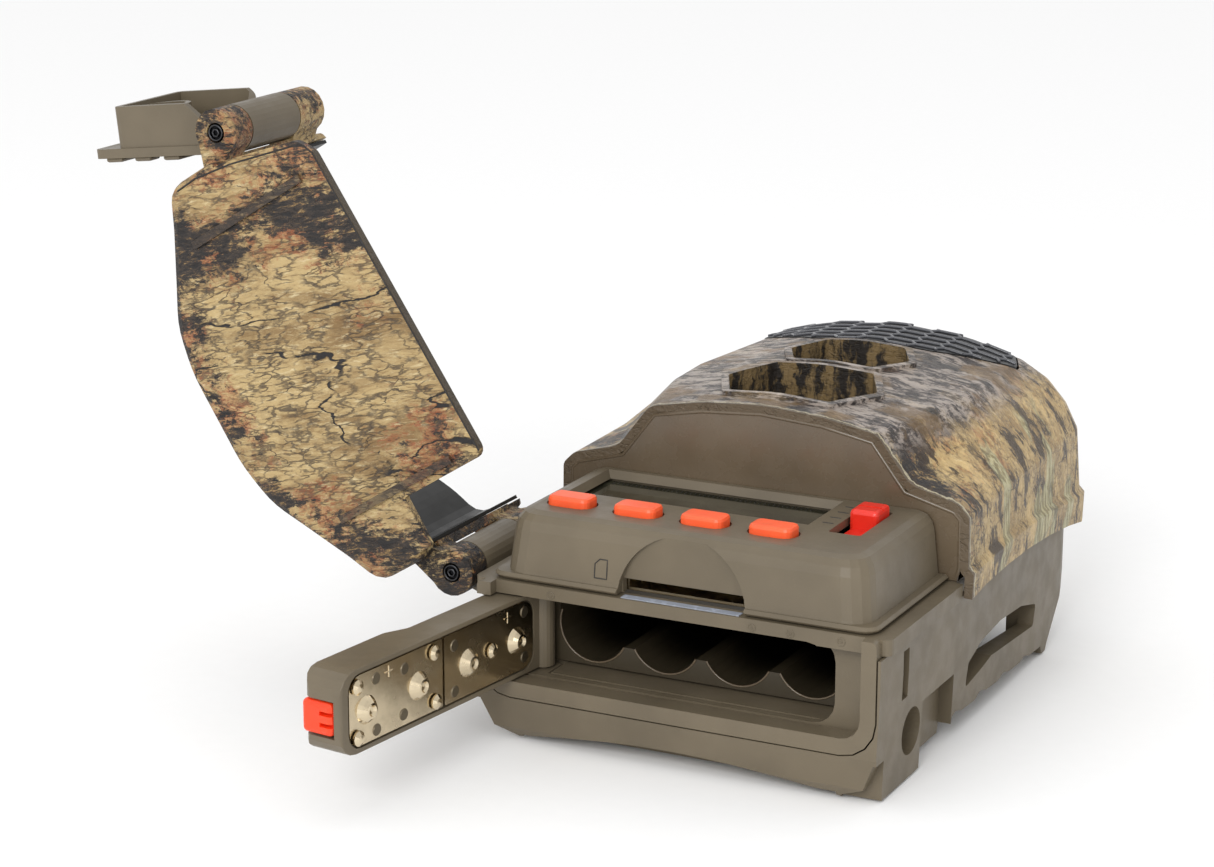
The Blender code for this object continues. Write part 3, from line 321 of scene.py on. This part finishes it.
def furrowed(look, wood, wavy, behind):
    """Golden plates and brown furrows down the flank, brightest behind the lip."""
    furrow = look.noise(stretched(look, wavy, (0.5, 1.0, 0.35)), 190.0, 8.0, 0.75)
    wood = look.mix(look.times(behind, 0.2), wood, colour(222, 186, 122))
    wood = look.mix(look.level(furrow, 0.54, 0.60, 0.0, 0.45), wood, colour(226, 196, 138))
    return look.mix(look.level(furrow, 0.475, 0.44, 0.0, 0.9), wood, colour(46, 33, 22))


def reeded(look, wood, plain, z):
    """Pale reeds that run down the flank."""
    bow = turned(look, look.warp(look.warp(plain, 22.0, 0.03), 90.0, 0.004), (REED_TURN, 0, 0))
    reed = look.noise(stretched(look, bow, (0.2, 1.0, 0.12)), 170.0, 1.0, 0.4)
    rim = look.level(look.away(reed, 0.655), 0.012, 0.004)
    reed = look.times(look.level(reed, 0.62, 0.65), look.level(z, 0.056, 0.050))
    blade = look.noise(stretched(look, plain, (1.0, 1.0, 0.2)), 900.0, 3.0)
    blade = look.mix(look.level(blade, 0.4, 0.6), colour(128, 120, 82), colour(192, 186, 146))
    blade = look.mix(look.times(rim, 0.5), blade, UMBER)
    return look.mix(look.times(reed, 0.85), wood, blade)


def recessed(look, wood, plain, x, y):
    """Upright brown strips in shadow on the walls of the two six-sided recesses."""
    strip = look.noise(stretched(look, look.warp(plain, 300.0, 0.003), (1.0, 1.0, 0.2)), 330.0, 4.0, 0.7)
    strip = look.mix(look.level(strip, 0.44, 0.58), colour(30, 24, 18), colour(122, 101, 66))
    for middle, half_width, half_length in RECESSES:
        along = look.math("DIVIDE", look.away(y, middle), half_length)
        across = look.math("DIVIDE", look.away(x, RECESS_X), half_width)
        across = look.math("ADD", across, look.times(along, RECESS_SLANT))
        wood = look.mix(look.level(look.math("MAXIMUM", along, across), 1.012, 1.006), wood, strip)
    return wood


def hood_film():
    """The hood's film: streaks across the crown, straw and reeds down the flank, a torn front edge."""
    look = Look("bark_film_hood", 0.42, specular=0.38)
    plain = look.place()
    x, y, z = parts(look, plain)
    crown = look.level(z, *CROWN)
    shoulder = look.times(look.level(y, 0.029, 0.020), look.level(z, 0.045, 0.052))
    behind = look.times(look.level(y, 0.024, 0.030), look.level(z, 0.060, 0.055))
    flank = look.level(z, 0.046, 0.038, 0.0, -0.03)
    shade = total(look, look.times(crown, 0.05), look.times(shoulder, 0.13),
                  look.times(behind, -0.07), flank, HOOD_SHADE)
    wood, tone, height, grit = bark(look, plain, look.place(scale=(0.5, 1.0, 1.0)), shade)
    wavy = look.warp(look.warp(plain, 50.0, 0.006), 240.0, 0.002)
    streak = look.noise(stretched(look, wavy, (0.12, 0.42, 0.6)), 900.0, 7.0, 0.8)
    wood = furrowed(look, wood, wavy, behind)
    wood = look.mix(look.times(crown, 0.8), wood, crown_grain(look, wavy, streak))
    wood = reeded(look, wood, plain, z)
    wood = look.mix(look.level(z, 0.052, 0.040, 0.0, 0.12), wood, UMBER)
    wood = recessed(look, wood, plain, x, y)
    # the film ends in a pale torn edge just behind the lip
    tear = look.times(look.noise(plain, 420.0, 5.0, 0.7), TEAR_DEPTH)
    depth = look.math("SUBTRACT", look.math("SUBTRACT", y, LIP_FRONT), tear)
    wood = look.mix(look.level(depth, 0.00065, 0.00045), wood, TEAR_PALE)
    film = look.level(depth, 0.00005, 0.00015)
    look.set("Base Color", look.mix(film, LINER_TAN, wood))
    look.set("Roughness", look.level(grit, 0.3, 0.7, 0.34, 0.5))
    look.set("Coat Weight", 0.08)
    look.set("Coat Roughness", 0.3)
    look.bump((film, 0.7, 0.25), (tone, 0.45, 0.6), (height, 0.8, 0.45),
              (look.times(streak, crown), 0.8, 0.5), (grit, 0.3, 0.15))
    return look.material


TUBE_SHADE = (-0.0085, 0.010)                   # from the mouths of the tubes to full shade, in metres


def tray_plastic():
    """Glossy dark plastic with painted shade that deepens towards the back of the tubes, its gloss dimmed
    there too.
    """
    look = Look("tray_moulding", 0.36, specular=0.5)
    plain = look.place()
    deep = look.level(parts(look, plain)[1], *TUBE_SHADE)
    look.set("Base Color", look.mix(deep, colour(58, 51, 38), colour(8, 7, 5)))
    look.set("Specular IOR Level", look.level(deep, 0.0, 1.0, 0.5, 0.05))
    look.bump((look.noise(plain, 1900.0, 3.0), 0.2, 0.04),)
    return look.material


def rubbery(name, base, rough):
    """Silicone or soft-touch plastic with light scattered under its surface."""
    look = Look(name, rough, specular=0.45)
    where = look.place()
    deep = tuple(c * 0.86 for c in base[:3]) + (1.0,)
    look.set("Base Color", look.mix(look.level(look.noise(where, 160.0, 3.0), 0.3, 0.7), deep, base))
    look.set("Subsurface Weight", 0.18)
    look.set("Subsurface Radius", (2.0 * MM, 0.7 * MM, 0.35 * MM))
    look.set("Subsurface Scale", 1.0)
    look.bump((look.noise(where, 1800.0, 2.0), 0.12, 0.03),)
    return look.material


def plated(name, base, rough, stretch=(1, 1, 1)):
    """Plated sheet with rolling lines, fine scratches and a faint bloom."""
    look = Look(name, rough, metallic=1.0)
    lines = look.noise(look.place(scale=stretch), 1400.0, 3.0)
    bloom = look.noise(look.place(), 120.0, 6.0, 0.65)
    scratch = look.noise(look.place(turn=(0, 20, 0), scale=(1.0, 1.0, 0.04)), 2600.0, 2.0)
    darker = tuple(c * 0.78 for c in base[:3]) + (1.0,)
    look.set("Base Color", look.mix(look.level(bloom, 0.40, 0.66, 0.0, 0.7), base, darker))
    look.set("Roughness", look.level(bloom, 0.35, 0.65, rough, rough + 0.12))
    look.bump((lines, 0.10, 0.03), (look.level(scratch, 0.66, 0.72), 0.15, 0.02), (bloom, 0.10, 0.2))
    return look.material


def window_glass(name, base, rough):
    """A polished dark window with faint smears."""
    look = Look(name, rough, specular=0.6)
    smear = look.noise(look.place(), 130.0, 5.0)
    lighter = tuple(c * 1.8 + 0.002 for c in base[:3]) + (1.0,)
    look.set("Base Color", look.mix(look.level(smear, 0.45, 0.7), base, lighter))
    look.set("Roughness", look.level(smear, 0.4, 0.7, rough, rough + 0.08))
    look.set("Coat Weight", 0.8)
    look.set("Coat Roughness", 0.04)
    return look.material


def printed(name, base, rough=0.55):
    """Ink or paper, a little worn."""
    look = Look(name, rough)
    worn = look.noise(look.place(), 700.0, 3.0)
    lighter = tuple(min(1.0, c * 1.4 + 0.01) for c in base[:3]) + (1.0,)
    look.set("Base Color", look.mix(look.level(worn, 0.5, 0.7), base, lighter))
    return look.material


TAN_BASE = colour(101, 91, 74)
LINER_TAN = colour(96, 83, 66)
TAN = moulded("tan_moulding", TAN_BASE, 0.44, 0.4, 0.4)
TAN_SMOOTH = moulded("tan_smooth", LINER_TAN, 0.26, 0.15, 0.6)
# a darker plastic, darkened further as painted shade for the floor of the bay
TAN_DARK = moulded("dark_moulding", colour(60, 53, 40), 0.5, 0.3)
BLACK = moulded("black_moulding", colour(17, 17, 19), 0.38, 0.3)
CELLS = moulded("cell_floor", colour(7, 7, 8), 0.34, 0.2, 0.5)
# the lamp net is black plastic; its light grey is a painted highlight along the ridges
NET = moulded("net_moulding", colour(74, 75, 80), 0.24, 0.2, 0.8)
TRAY = tray_plastic()
LINER = moulded("liner_moulding", colour(15, 14, 11), 0.35, 0.1, 0.25)
COVER_FILM = cover_film()
HOOD_FILM = hood_film()
ORANGE = rubbery("orange_silicone", colour(255, 98, 50), 0.42)
LATCH_ORANGE = rubbery("latch_orange", colour(250, 66, 26), 0.36)
RED = rubbery("switch_red", colour(228, 46, 30), 0.3)
NICKEL = plated("nickel_plate", colour(214, 198, 168), 0.16, (0.15, 1, 1))
RIVET = plated("rivet_grey", colour(120, 110, 92), 0.4)
BLACK_STEEL = plated("black_oxide", colour(26, 26, 28), 0.3)
LCD = window_glass("lcd_glass", colour(48, 47, 36), 0.16)
DARK_GLASS = window_glass("dark_glass", colour(20, 18, 16), 0.06)
SENSOR = window_glass("sensor_window", colour(46, 38, 28), 0.10)
BOARD = moulded("solder_mask", colour(24, 70, 42), 0.3, 0.1)
INK = printed("black_ink", colour(40, 37, 33))
LABEL = printed("label_paper", colour(150, 156, 168), 0.5)
LINE = printed("seam_shadow", colour(22, 19, 17), 0.6)
STEEL_RING = plated("ring_steel", colour(70, 70, 72), 0.3)

NODE_LOOKS = {
    "front_hood": HOOD_FILM, "cover_shell": COVER_FILM, "cover_liner": LINER,
    "battery_tray": TRAY, "led_cover": CELLS, "hood_liner": TAN_SMOOTH, "battery_door_latch": LATCH_ORANGE,
}
SLOT_LOOKS = {
    "tan_plastic": TAN, "dark_plastic": TAN_DARK, "camo": HOOD_FILM, "orange_rubber": ORANGE,
    "red_plastic": RED, "steel": NICKEL, "black_steel": BLACK_STEEL, "black_plastic": BLACK,
    "lcd_glass": LCD, "dark_glass": DARK_GLASS, "milky_plastic": SENSOR, "circuit_board": BOARD,
}
NODE_SLOTS = {entry["node"]: entry["material_slot"] for entry in frame["record"]["subparts"]}


def dress_nodes():
    """Give every CAD node its finish."""
    for name, node in frame["nodes"].items():
        look = NODE_LOOKS.get(name, SLOT_LOOKS[NODE_SLOTS[name]])
        for place in node.material_slots:
            place.material = look


# ---------------------------------------------------------------- fine pieces

def surface(name):
    """A node's mesh, for finding where a ray meets it."""
    node = frame["nodes"][name]
    bm = bmesh.new()
    bm.from_mesh(node.data)
    bm.transform(node.matrix_world)
    tree = BVHTree.FromBMesh(bm)
    bm.free()
    return tree


def from_above(tree, start):
    """Where a ray straight down meets a surface; all in metres."""
    return tree.ray_cast(start, Vector((0, 0, -1)))[0]


def from_front(tree, x, z):
    """Where a ray from well in front meets a surface, in metres."""
    return tree.ray_cast(Vector((x, AHEAD_Y, z)) * MM, Vector((0, 1, 0)))[0]


def add_piece(name, data, look, body):
    """Add a mesh or a curve as a visible piece that rides on a body."""
    piece = bpy.data.objects.new(name, data)
    SCENE.collection.objects.link(piece)
    data.materials.append(look)
    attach(piece, body)


def add_solid(name, bm, look, body):
    mesh = bpy.data.meshes.new(name)
    bm.to_mesh(mesh)
    bm.free()
    add_piece(name, mesh, look, body)


def wires(name, runs, radius, look, body, sides=1):
    """Round wires or ridges along lists of points in metres."""
    curve = bpy.data.curves.new(name, "CURVE")
    curve.dimensions = "3D"
    curve.bevel_depth = radius * MM
    curve.bevel_resolution = sides
    curve.use_fill_caps = True
    for run in runs:
        spline = curve.splines.new("POLY")
        spline.points.add(len(run) - 1)
        for point, place in zip(spline.points, run):
            point.co = (*place, 1.0)
    add_piece(name, curve, look, body)


def even_steps(start, end, steps):
    """Points from one corner to the next, both included."""
    return [(start[0] + (end[0] - start[0]) * k / steps, start[1] + (end[1] - start[1]) * k / steps)
            for k in range(steps + 1)]


def circle(centre, radius, across, up, steps=20):
    """A closed ring of points round a centre, in the plane of two directions."""
    ring = []
    for i in range(steps + 1):
        angle = 2 * math.pi * i / steps
        ring.append(Vector(centre) + (Vector(across) * math.cos(angle) + Vector(up) * math.sin(angle))
                    * radius * MM)
    return ring


def opened_cover(x, y, z):
    """A point of the shut cover, given in millimetres, where the open cover has it, in metres."""
    turn = math.radians(-COVER_TURN)
    across, up = x - HINGE_X, z - HINGE_Z
    return Vector((HINGE_X + across * math.cos(turn) + up * math.sin(turn), y,
                   HINGE_Z - across * math.sin(turn) + up * math.cos(turn))) * MM


def opened_door(x, y, z):
    """A point of the shut battery door, given in millimetres, where the open door has it, in metres."""
    turn = math.radians(-DOOR_TURN)
    across, back = x - DOOR_X, y - DOOR_Y
    return Vector((DOOR_X + across * math.cos(turn) - back * math.sin(turn),
                   DOOR_Y + across * math.sin(turn) + back * math.cos(turn), z)) * MM


NET_PITCH = (5.7, 3.5)      # between columns and between rows of the lamp net
NET_FLAT = 2.1              # half the length of a cell's straight side
NET_RADIUS = 0.34
NET_PROUD = 0.15
NET_REACH = 14.0            # how far down the lamp cover's curve the net goes
NET_ABOVE = 0.2             # where the rays down to the lamp cover start, in metres
NET_STEPS = 4
NET_COLUMNS, NET_ROWS = range(-7, 8), range(-1, 9)


def lamp_net():
    """A six-sided net of ridges over the lamp cover, following its curve."""
    tree = surface("led_cover")
    low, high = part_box("led_cover")
    column, row = NET_PITCH
    point = column - NET_FLAT
    corners = [(-point, 0.0), (-NET_FLAT, row / 2), (NET_FLAT, row / 2), (point, 0.0)]
    runs = []
    for i in NET_COLUMNS:
        for j in NET_ROWS:
            x0, y0 = column * i, low[1] / MM + row * (j + 0.5 * (i % 2))
            for start, end in zip(corners, corners[1:]):
                hits = [from_above(tree, Vector(((x0 + x) * MM, (y0 + y) * MM, NET_ABOVE)))
                        for x, y in even_steps(start, end, NET_STEPS)]
                run = [hit + Vector((0, 0, NET_PROUD * MM)) for hit in hits
                       if hit and hit.z > high[2] - NET_REACH * MM]
                if len(run) > 1:
                    runs.append(run)
    wires("lamp_net", runs, NET_RADIUS, NET, "camera")


PIN_END_Y = -19.95
PIN_RINGS = ((1.5, 20), (0.75, 6))              # radius and number of sides
PIN_WIRE = 0.2


def pin_rings():
    """The turned rings on the front ends of the two hinge pins."""
    places = {"camera": Vector((HINGE_X, PIN_END_Y, HINGE_Z)) * MM,
              "cover": opened_cover(-HINGE_X, PIN_END_Y, HINGE_Z)}
    for body, place in places.items():
        rings = [circle(place, radius, (1, 0, 0), (0, 0, 1), sides) for radius, sides in PIN_RINGS]
        wires(f"pin_rings_{body}", rings, PIN_WIRE, STEEL_RING, body)


LINER_MIDDLE = (0.0, 33.0)
LINER_RIM = 0.2                                 # how deep the liner's front rim is taken to be
BEAD_RADIUS, BEAD_OUT, BEAD_BACK = 0.45, 0.25, 0.28


def liner_bead():
    """The fillet that closes the seam between the liner and the hood's lip."""
    middle = Vector(LINER_MIDDLE) * MM
    node = frame["nodes"]["hood_liner"]
    front = min(v.co.y for v in node.data.vertices)
    rim = [v.co for v in node.data.vertices if v.co.y < front + LINER_RIM * MM]
    rim = sorted({(round(p.x, 6), round(p.z, 6)) for p in rim},
                 key=lambda p: math.atan2(p[1] - middle.y, p[0] - middle.x))
    run = []
    for x, z in rim:
        away = (Vector((x, z)) - middle).normalized() * BEAD_OUT * MM
        run.append(Vector((x + away.x, front + BEAD_BACK * MM, z + away.y)))
    wires("liner_bead", [run], BEAD_RADIUS, TAN_SMOOTH, "camera", 2)


GROOVE = [(-30.6, 9.75), (34.4, 11.15), (36.4, 12.1), (37.5, 14.2), (41.2, 29.0), (42.6, 38.0),
          (42.4, 43.0)]
GROOVE_PROUD, GROOVE_WIRE = 0.05, 0.2


def cover_groove_shadow():
    """A painted shadow line along the edge of the cover's front wall."""
    run = [opened_cover(x, COVER_FACE + GROOVE_PROUD, z) for x, z in GROOVE]
    wires("cover_groove_shadow", [run], GROOVE_WIRE, LINE, "cover")


# Along the shut battery door and up it
RIVETS = [(20.2, 25.7), (11.8, 25.1), (12.2, 16.3), (20.2, 15.8), (-3.4, 25.2), (-3.4, 16.1),
          (-25.8, 25.7), (-25.8, 16.5)]
PLUS_SIGNS = [(16.4, 26.0), (-20.4, 26.0)]
PLUS_HALF, PLUS_WIRE = 1.1, 0.16
RIVET_FOOT, RIVET_TOP, RIVET_HEIGHT, RIVET_SIDES = 1.25, 1.05, 0.3, 20
RIVET_PROUD = 0.05
PLATE_CLEAR = 12.0                              # how far off the plates the rays start


def door_plate_marks():
    """Rivet heads on the contact plates and a plus sign above the two positive ends."""
    trees = [surface("door_contact_left"), surface("door_contact_right")]
    out = opened_door(0.0, 10.0, 0.0) - opened_door(0.0, 0.0, 0.0)
    out.normalize()
    side = Vector((0, 0, 1)).cross(out)

    def on_plate(x, z):
        start = opened_door(x, DOOR_Y + PLATE_CLEAR, z)
        hits = [tree.ray_cast(start, -out)[0] for tree in trees]
        return min([hit for hit in hits if hit], key=lambda hit: (hit - start).length, default=None)

    bm = bmesh.new()
    for place in filter(None, (on_plate(x, z) for x, z in RIVETS)):
        turn = out.to_track_quat("Z", "Y").to_matrix().to_4x4()
        turn.translation = place + out * RIVET_PROUD * MM
        bmesh.ops.create_cone(bm, cap_ends=True, segments=RIVET_SIDES, radius1=RIVET_FOOT * MM,
                              radius2=RIVET_TOP * MM, depth=RIVET_HEIGHT * MM, matrix=turn)
    add_solid("plate_rivets", bm, RIVET, "battery_door")
    runs = []
    for place in filter(None, (on_plate(x, z) for x, z in PLUS_SIGNS)):
        for way in (side, Vector((0, 0, 1))):
            runs.append([place - way * PLUS_HALF * MM, place + way * PLUS_HALF * MM])
    wires("plate_signs", runs, PLUS_WIRE, NICKEL, "battery_door")


CARD = [(-17.9, 34.9), (-15.3, 34.9), (-15.3, 38.6), (-16.9, 38.6), (-17.9, 37.6), (-17.9, 34.9)]
SWITCH_TICK_XS, SWITCH_TICK_YS = (20.2, 21.3, 22.4), (13.2, 9.4, 5.6, 1.8)
PANEL_ABOVE = 90.0
MARK_WIRE = 0.13


def panel_marks():
    """The outline of a card beside the slot, and ticks beside the switch."""
    tree = surface("control_panel")
    outline = [point for start, end in zip(CARD, CARD[1:]) for point in even_steps(start, end, 3)]
    card = [from_front(tree, x, z) for x, z in outline]
    ticks = [[from_above(tree, Vector((x, y, PANEL_ABOVE)) * MM) for x in SWITCH_TICK_XS]
             for y in SWITCH_TICK_YS]
    wires("panel_marks", [card] + ticks, MARK_WIRE, INK, "camera")


LCD_TICKS, LCD_LEFT, LCD_REAR, LCD_TOP = 44, -30.6, 15.3, 43.31
LCD_SHORT, LCD_LONG, LCD_WIRE = 0.9, 1.3, 0.11


def lcd_ticks():
    """The unlit segments along the rear of the display, every fourth one longer."""
    runs = []
    for i in range(LCD_TICKS):
        x, length = LCD_LEFT + i, LCD_SHORT if i % 4 else LCD_LONG
        runs.append([Vector((x, LCD_REAR, LCD_TOP)) * MM, Vector((x, LCD_REAR - length, LCD_TOP)) * MM])
    wires("lcd_ticks", runs, LCD_WIRE, INK, "camera")


LABEL_SIZE, LABEL_MIDDLE = (24.6, 1.9, 0.14), (0.4, -18.9, 32.07)


def card_label():
    """A blank label on the ledge in front of the card slot."""
    bm = bmesh.new()
    bmesh.ops.create_cube(bm, size=1.0)
    bmesh.ops.scale(bm, vec=Vector(LABEL_SIZE) * MM, verts=bm.verts)
    bmesh.ops.translate(bm, vec=Vector(LABEL_MIDDLE) * MM, verts=bm.verts)
    add_solid("card_label", bm, LABEL, "camera")


TUBES = 4
LIP_START, LIP_END = -152.6, -27.4              # degrees; neighbouring tubes run into each other
OUTER_START, OUTER_END = -200.0, 20.0           # the outer sides of the first and the last tube
LIP_STEPS = 16
LIP_WIRE = 0.22


def tube_lip_highlights():
    """Bright lips round the mouths of the battery tubes, a painted highlight on their edges."""
    runs = []
    for i in range(TUBES):
        x = TUBE_PITCH * (i - 1.5)
        first, last = OUTER_START if i == 0 else LIP_START, OUTER_END if i == TUBES - 1 else LIP_END
        run = []
        for k in range(LIP_STEPS + 1):
            angle = math.radians(first + (last - first) * k / LIP_STEPS)
            across, up = TUBE_RADIUS * math.cos(angle), TUBE_RADIUS * math.sin(angle)
            run.append(Vector((x + across, TRAY_FACE, TUBE_Z + up)) * MM)
        runs.append(run)
    wires("tube_lip_highlights", runs, LIP_WIRE, TAN_SMOOTH, "camera")


DOT_XS, DOT_Z = (-26.6, 15.6, 23.4, 33.6), 30.4
DOT_RINGS = ((0.75, 14), (0.2, 6))              # radius and number of sides
DOT_WIRE = 0.12


def strip_dots():
    """Small ringed dots on the strip above the bay."""
    tree = surface("mid_frame")
    hits = filter(None, (from_front(tree, x, DOT_Z) for x in DOT_XS))
    runs = [circle(hit, radius, (1, 0, 0), (0, 0, 1), sides) for hit in hits for radius, sides in DOT_RINGS]
    wires("strip_dots", runs, DOT_WIRE, TAN, "camera")


# ---------------------------------------------------------------- light and camera, in metres

def area_light(name, place, target, size, power):
    lamp = bpy.data.lights.new(name, "AREA")
    lamp.shape = "RECTANGLE"
    lamp.size, lamp.size_y = size
    lamp.energy = power
    light = bpy.data.objects.new(name, lamp)
    SCENE.collection.objects.link(light)
    light.location = place
    light.rotation_euler = (Vector(target) - Vector(place)).to_track_quat("-Z", "Y").to_euler()


FLOOR_SIZE, FLOOR_Z = 12.0, -0.0005
PAPER = ((0.93, 0.93, 0.93, 1), (0.95, 0.95, 0.95, 1))
DIM_FROM, DIM_TO = (0.1, 0.9), (1.04, 0.72)     # along +X, and the strength of the surround there
TARGET = (-0.01, 0.0, 0.04)


def surround():
    """A white surround that is dimmer on the side of the padlock latch."""
    world = bpy.data.worlds.new("studio")
    SCENE.world = world
    world.use_nodes = True
    tree = world.node_tree
    background = tree.nodes["Background"]
    background.inputs["Color"].default_value = (1, 1, 1, 1)
    way = tree.nodes.new("ShaderNodeTexCoord")
    split = tree.nodes.new("ShaderNodeSeparateXYZ")
    dim = tree.nodes.new("ShaderNodeMapRange")
    dim.inputs["From Min"].default_value, dim.inputs["From Max"].default_value = DIM_FROM
    dim.inputs["To Min"].default_value, dim.inputs["To Max"].default_value = DIM_TO
    tree.links.new(way.outputs["Generated"], split.inputs[0])
    tree.links.new(split.outputs["X"], dim.inputs["Value"])
    tree.links.new(dim.outputs["Result"], background.inputs["Strength"])


def studio():
    """A pale floor, the surround, a soft key light and a weak side light."""
    bpy.ops.mesh.primitive_plane_add(size=FLOOR_SIZE, location=(0, 0, FLOOR_Z))
    floor = bpy.context.object
    floor.name = "studio_floor"
    look = Look("studio_paper", 0.9, specular=0.0)
    look.set("Base Color", look.mix(look.noise(look.place(), 300.0, 2.0), *PAPER))
    floor.data.materials.append(look.material)
    surround()
    area_light("key", (0.10, -1.05, 0.62), TARGET, (0.5, 0.5), 7.0)
    area_light("glint", (0.75, -0.55, 0.30), TARGET, (0.12, 0.5), 0.6)


CAMERA_PLACE = (0.2354, -0.5151, 0.2147)
CAMERA_TURN = (74.8, 0.0, 26.8)                 # degrees
CAMERA_LENS, CAMERA_SENSOR = 90.98, 36.0


def add_camera():
    data = bpy.data.cameras.new("camera")
    data.lens = CAMERA_LENS
    data.sensor_width = CAMERA_SENSOR
    data.clip_start = 0.01
    view = bpy.data.objects.new("view", data)
    SCENE.collection.objects.link(view)
    view.location = CAMERA_PLACE
    view.rotation_euler = [math.radians(a) for a in CAMERA_TURN]
    SCENE.camera = view


dress_nodes()
lamp_net()
pin_rings()
liner_bead()
cover_groove_shadow()
door_plate_marks()
panel_marks()
lcd_ticks()
card_label()
tube_lip_highlights()
strip_dots()
studio()
add_camera()
SCENE.view_settings.view_transform = "Standard"
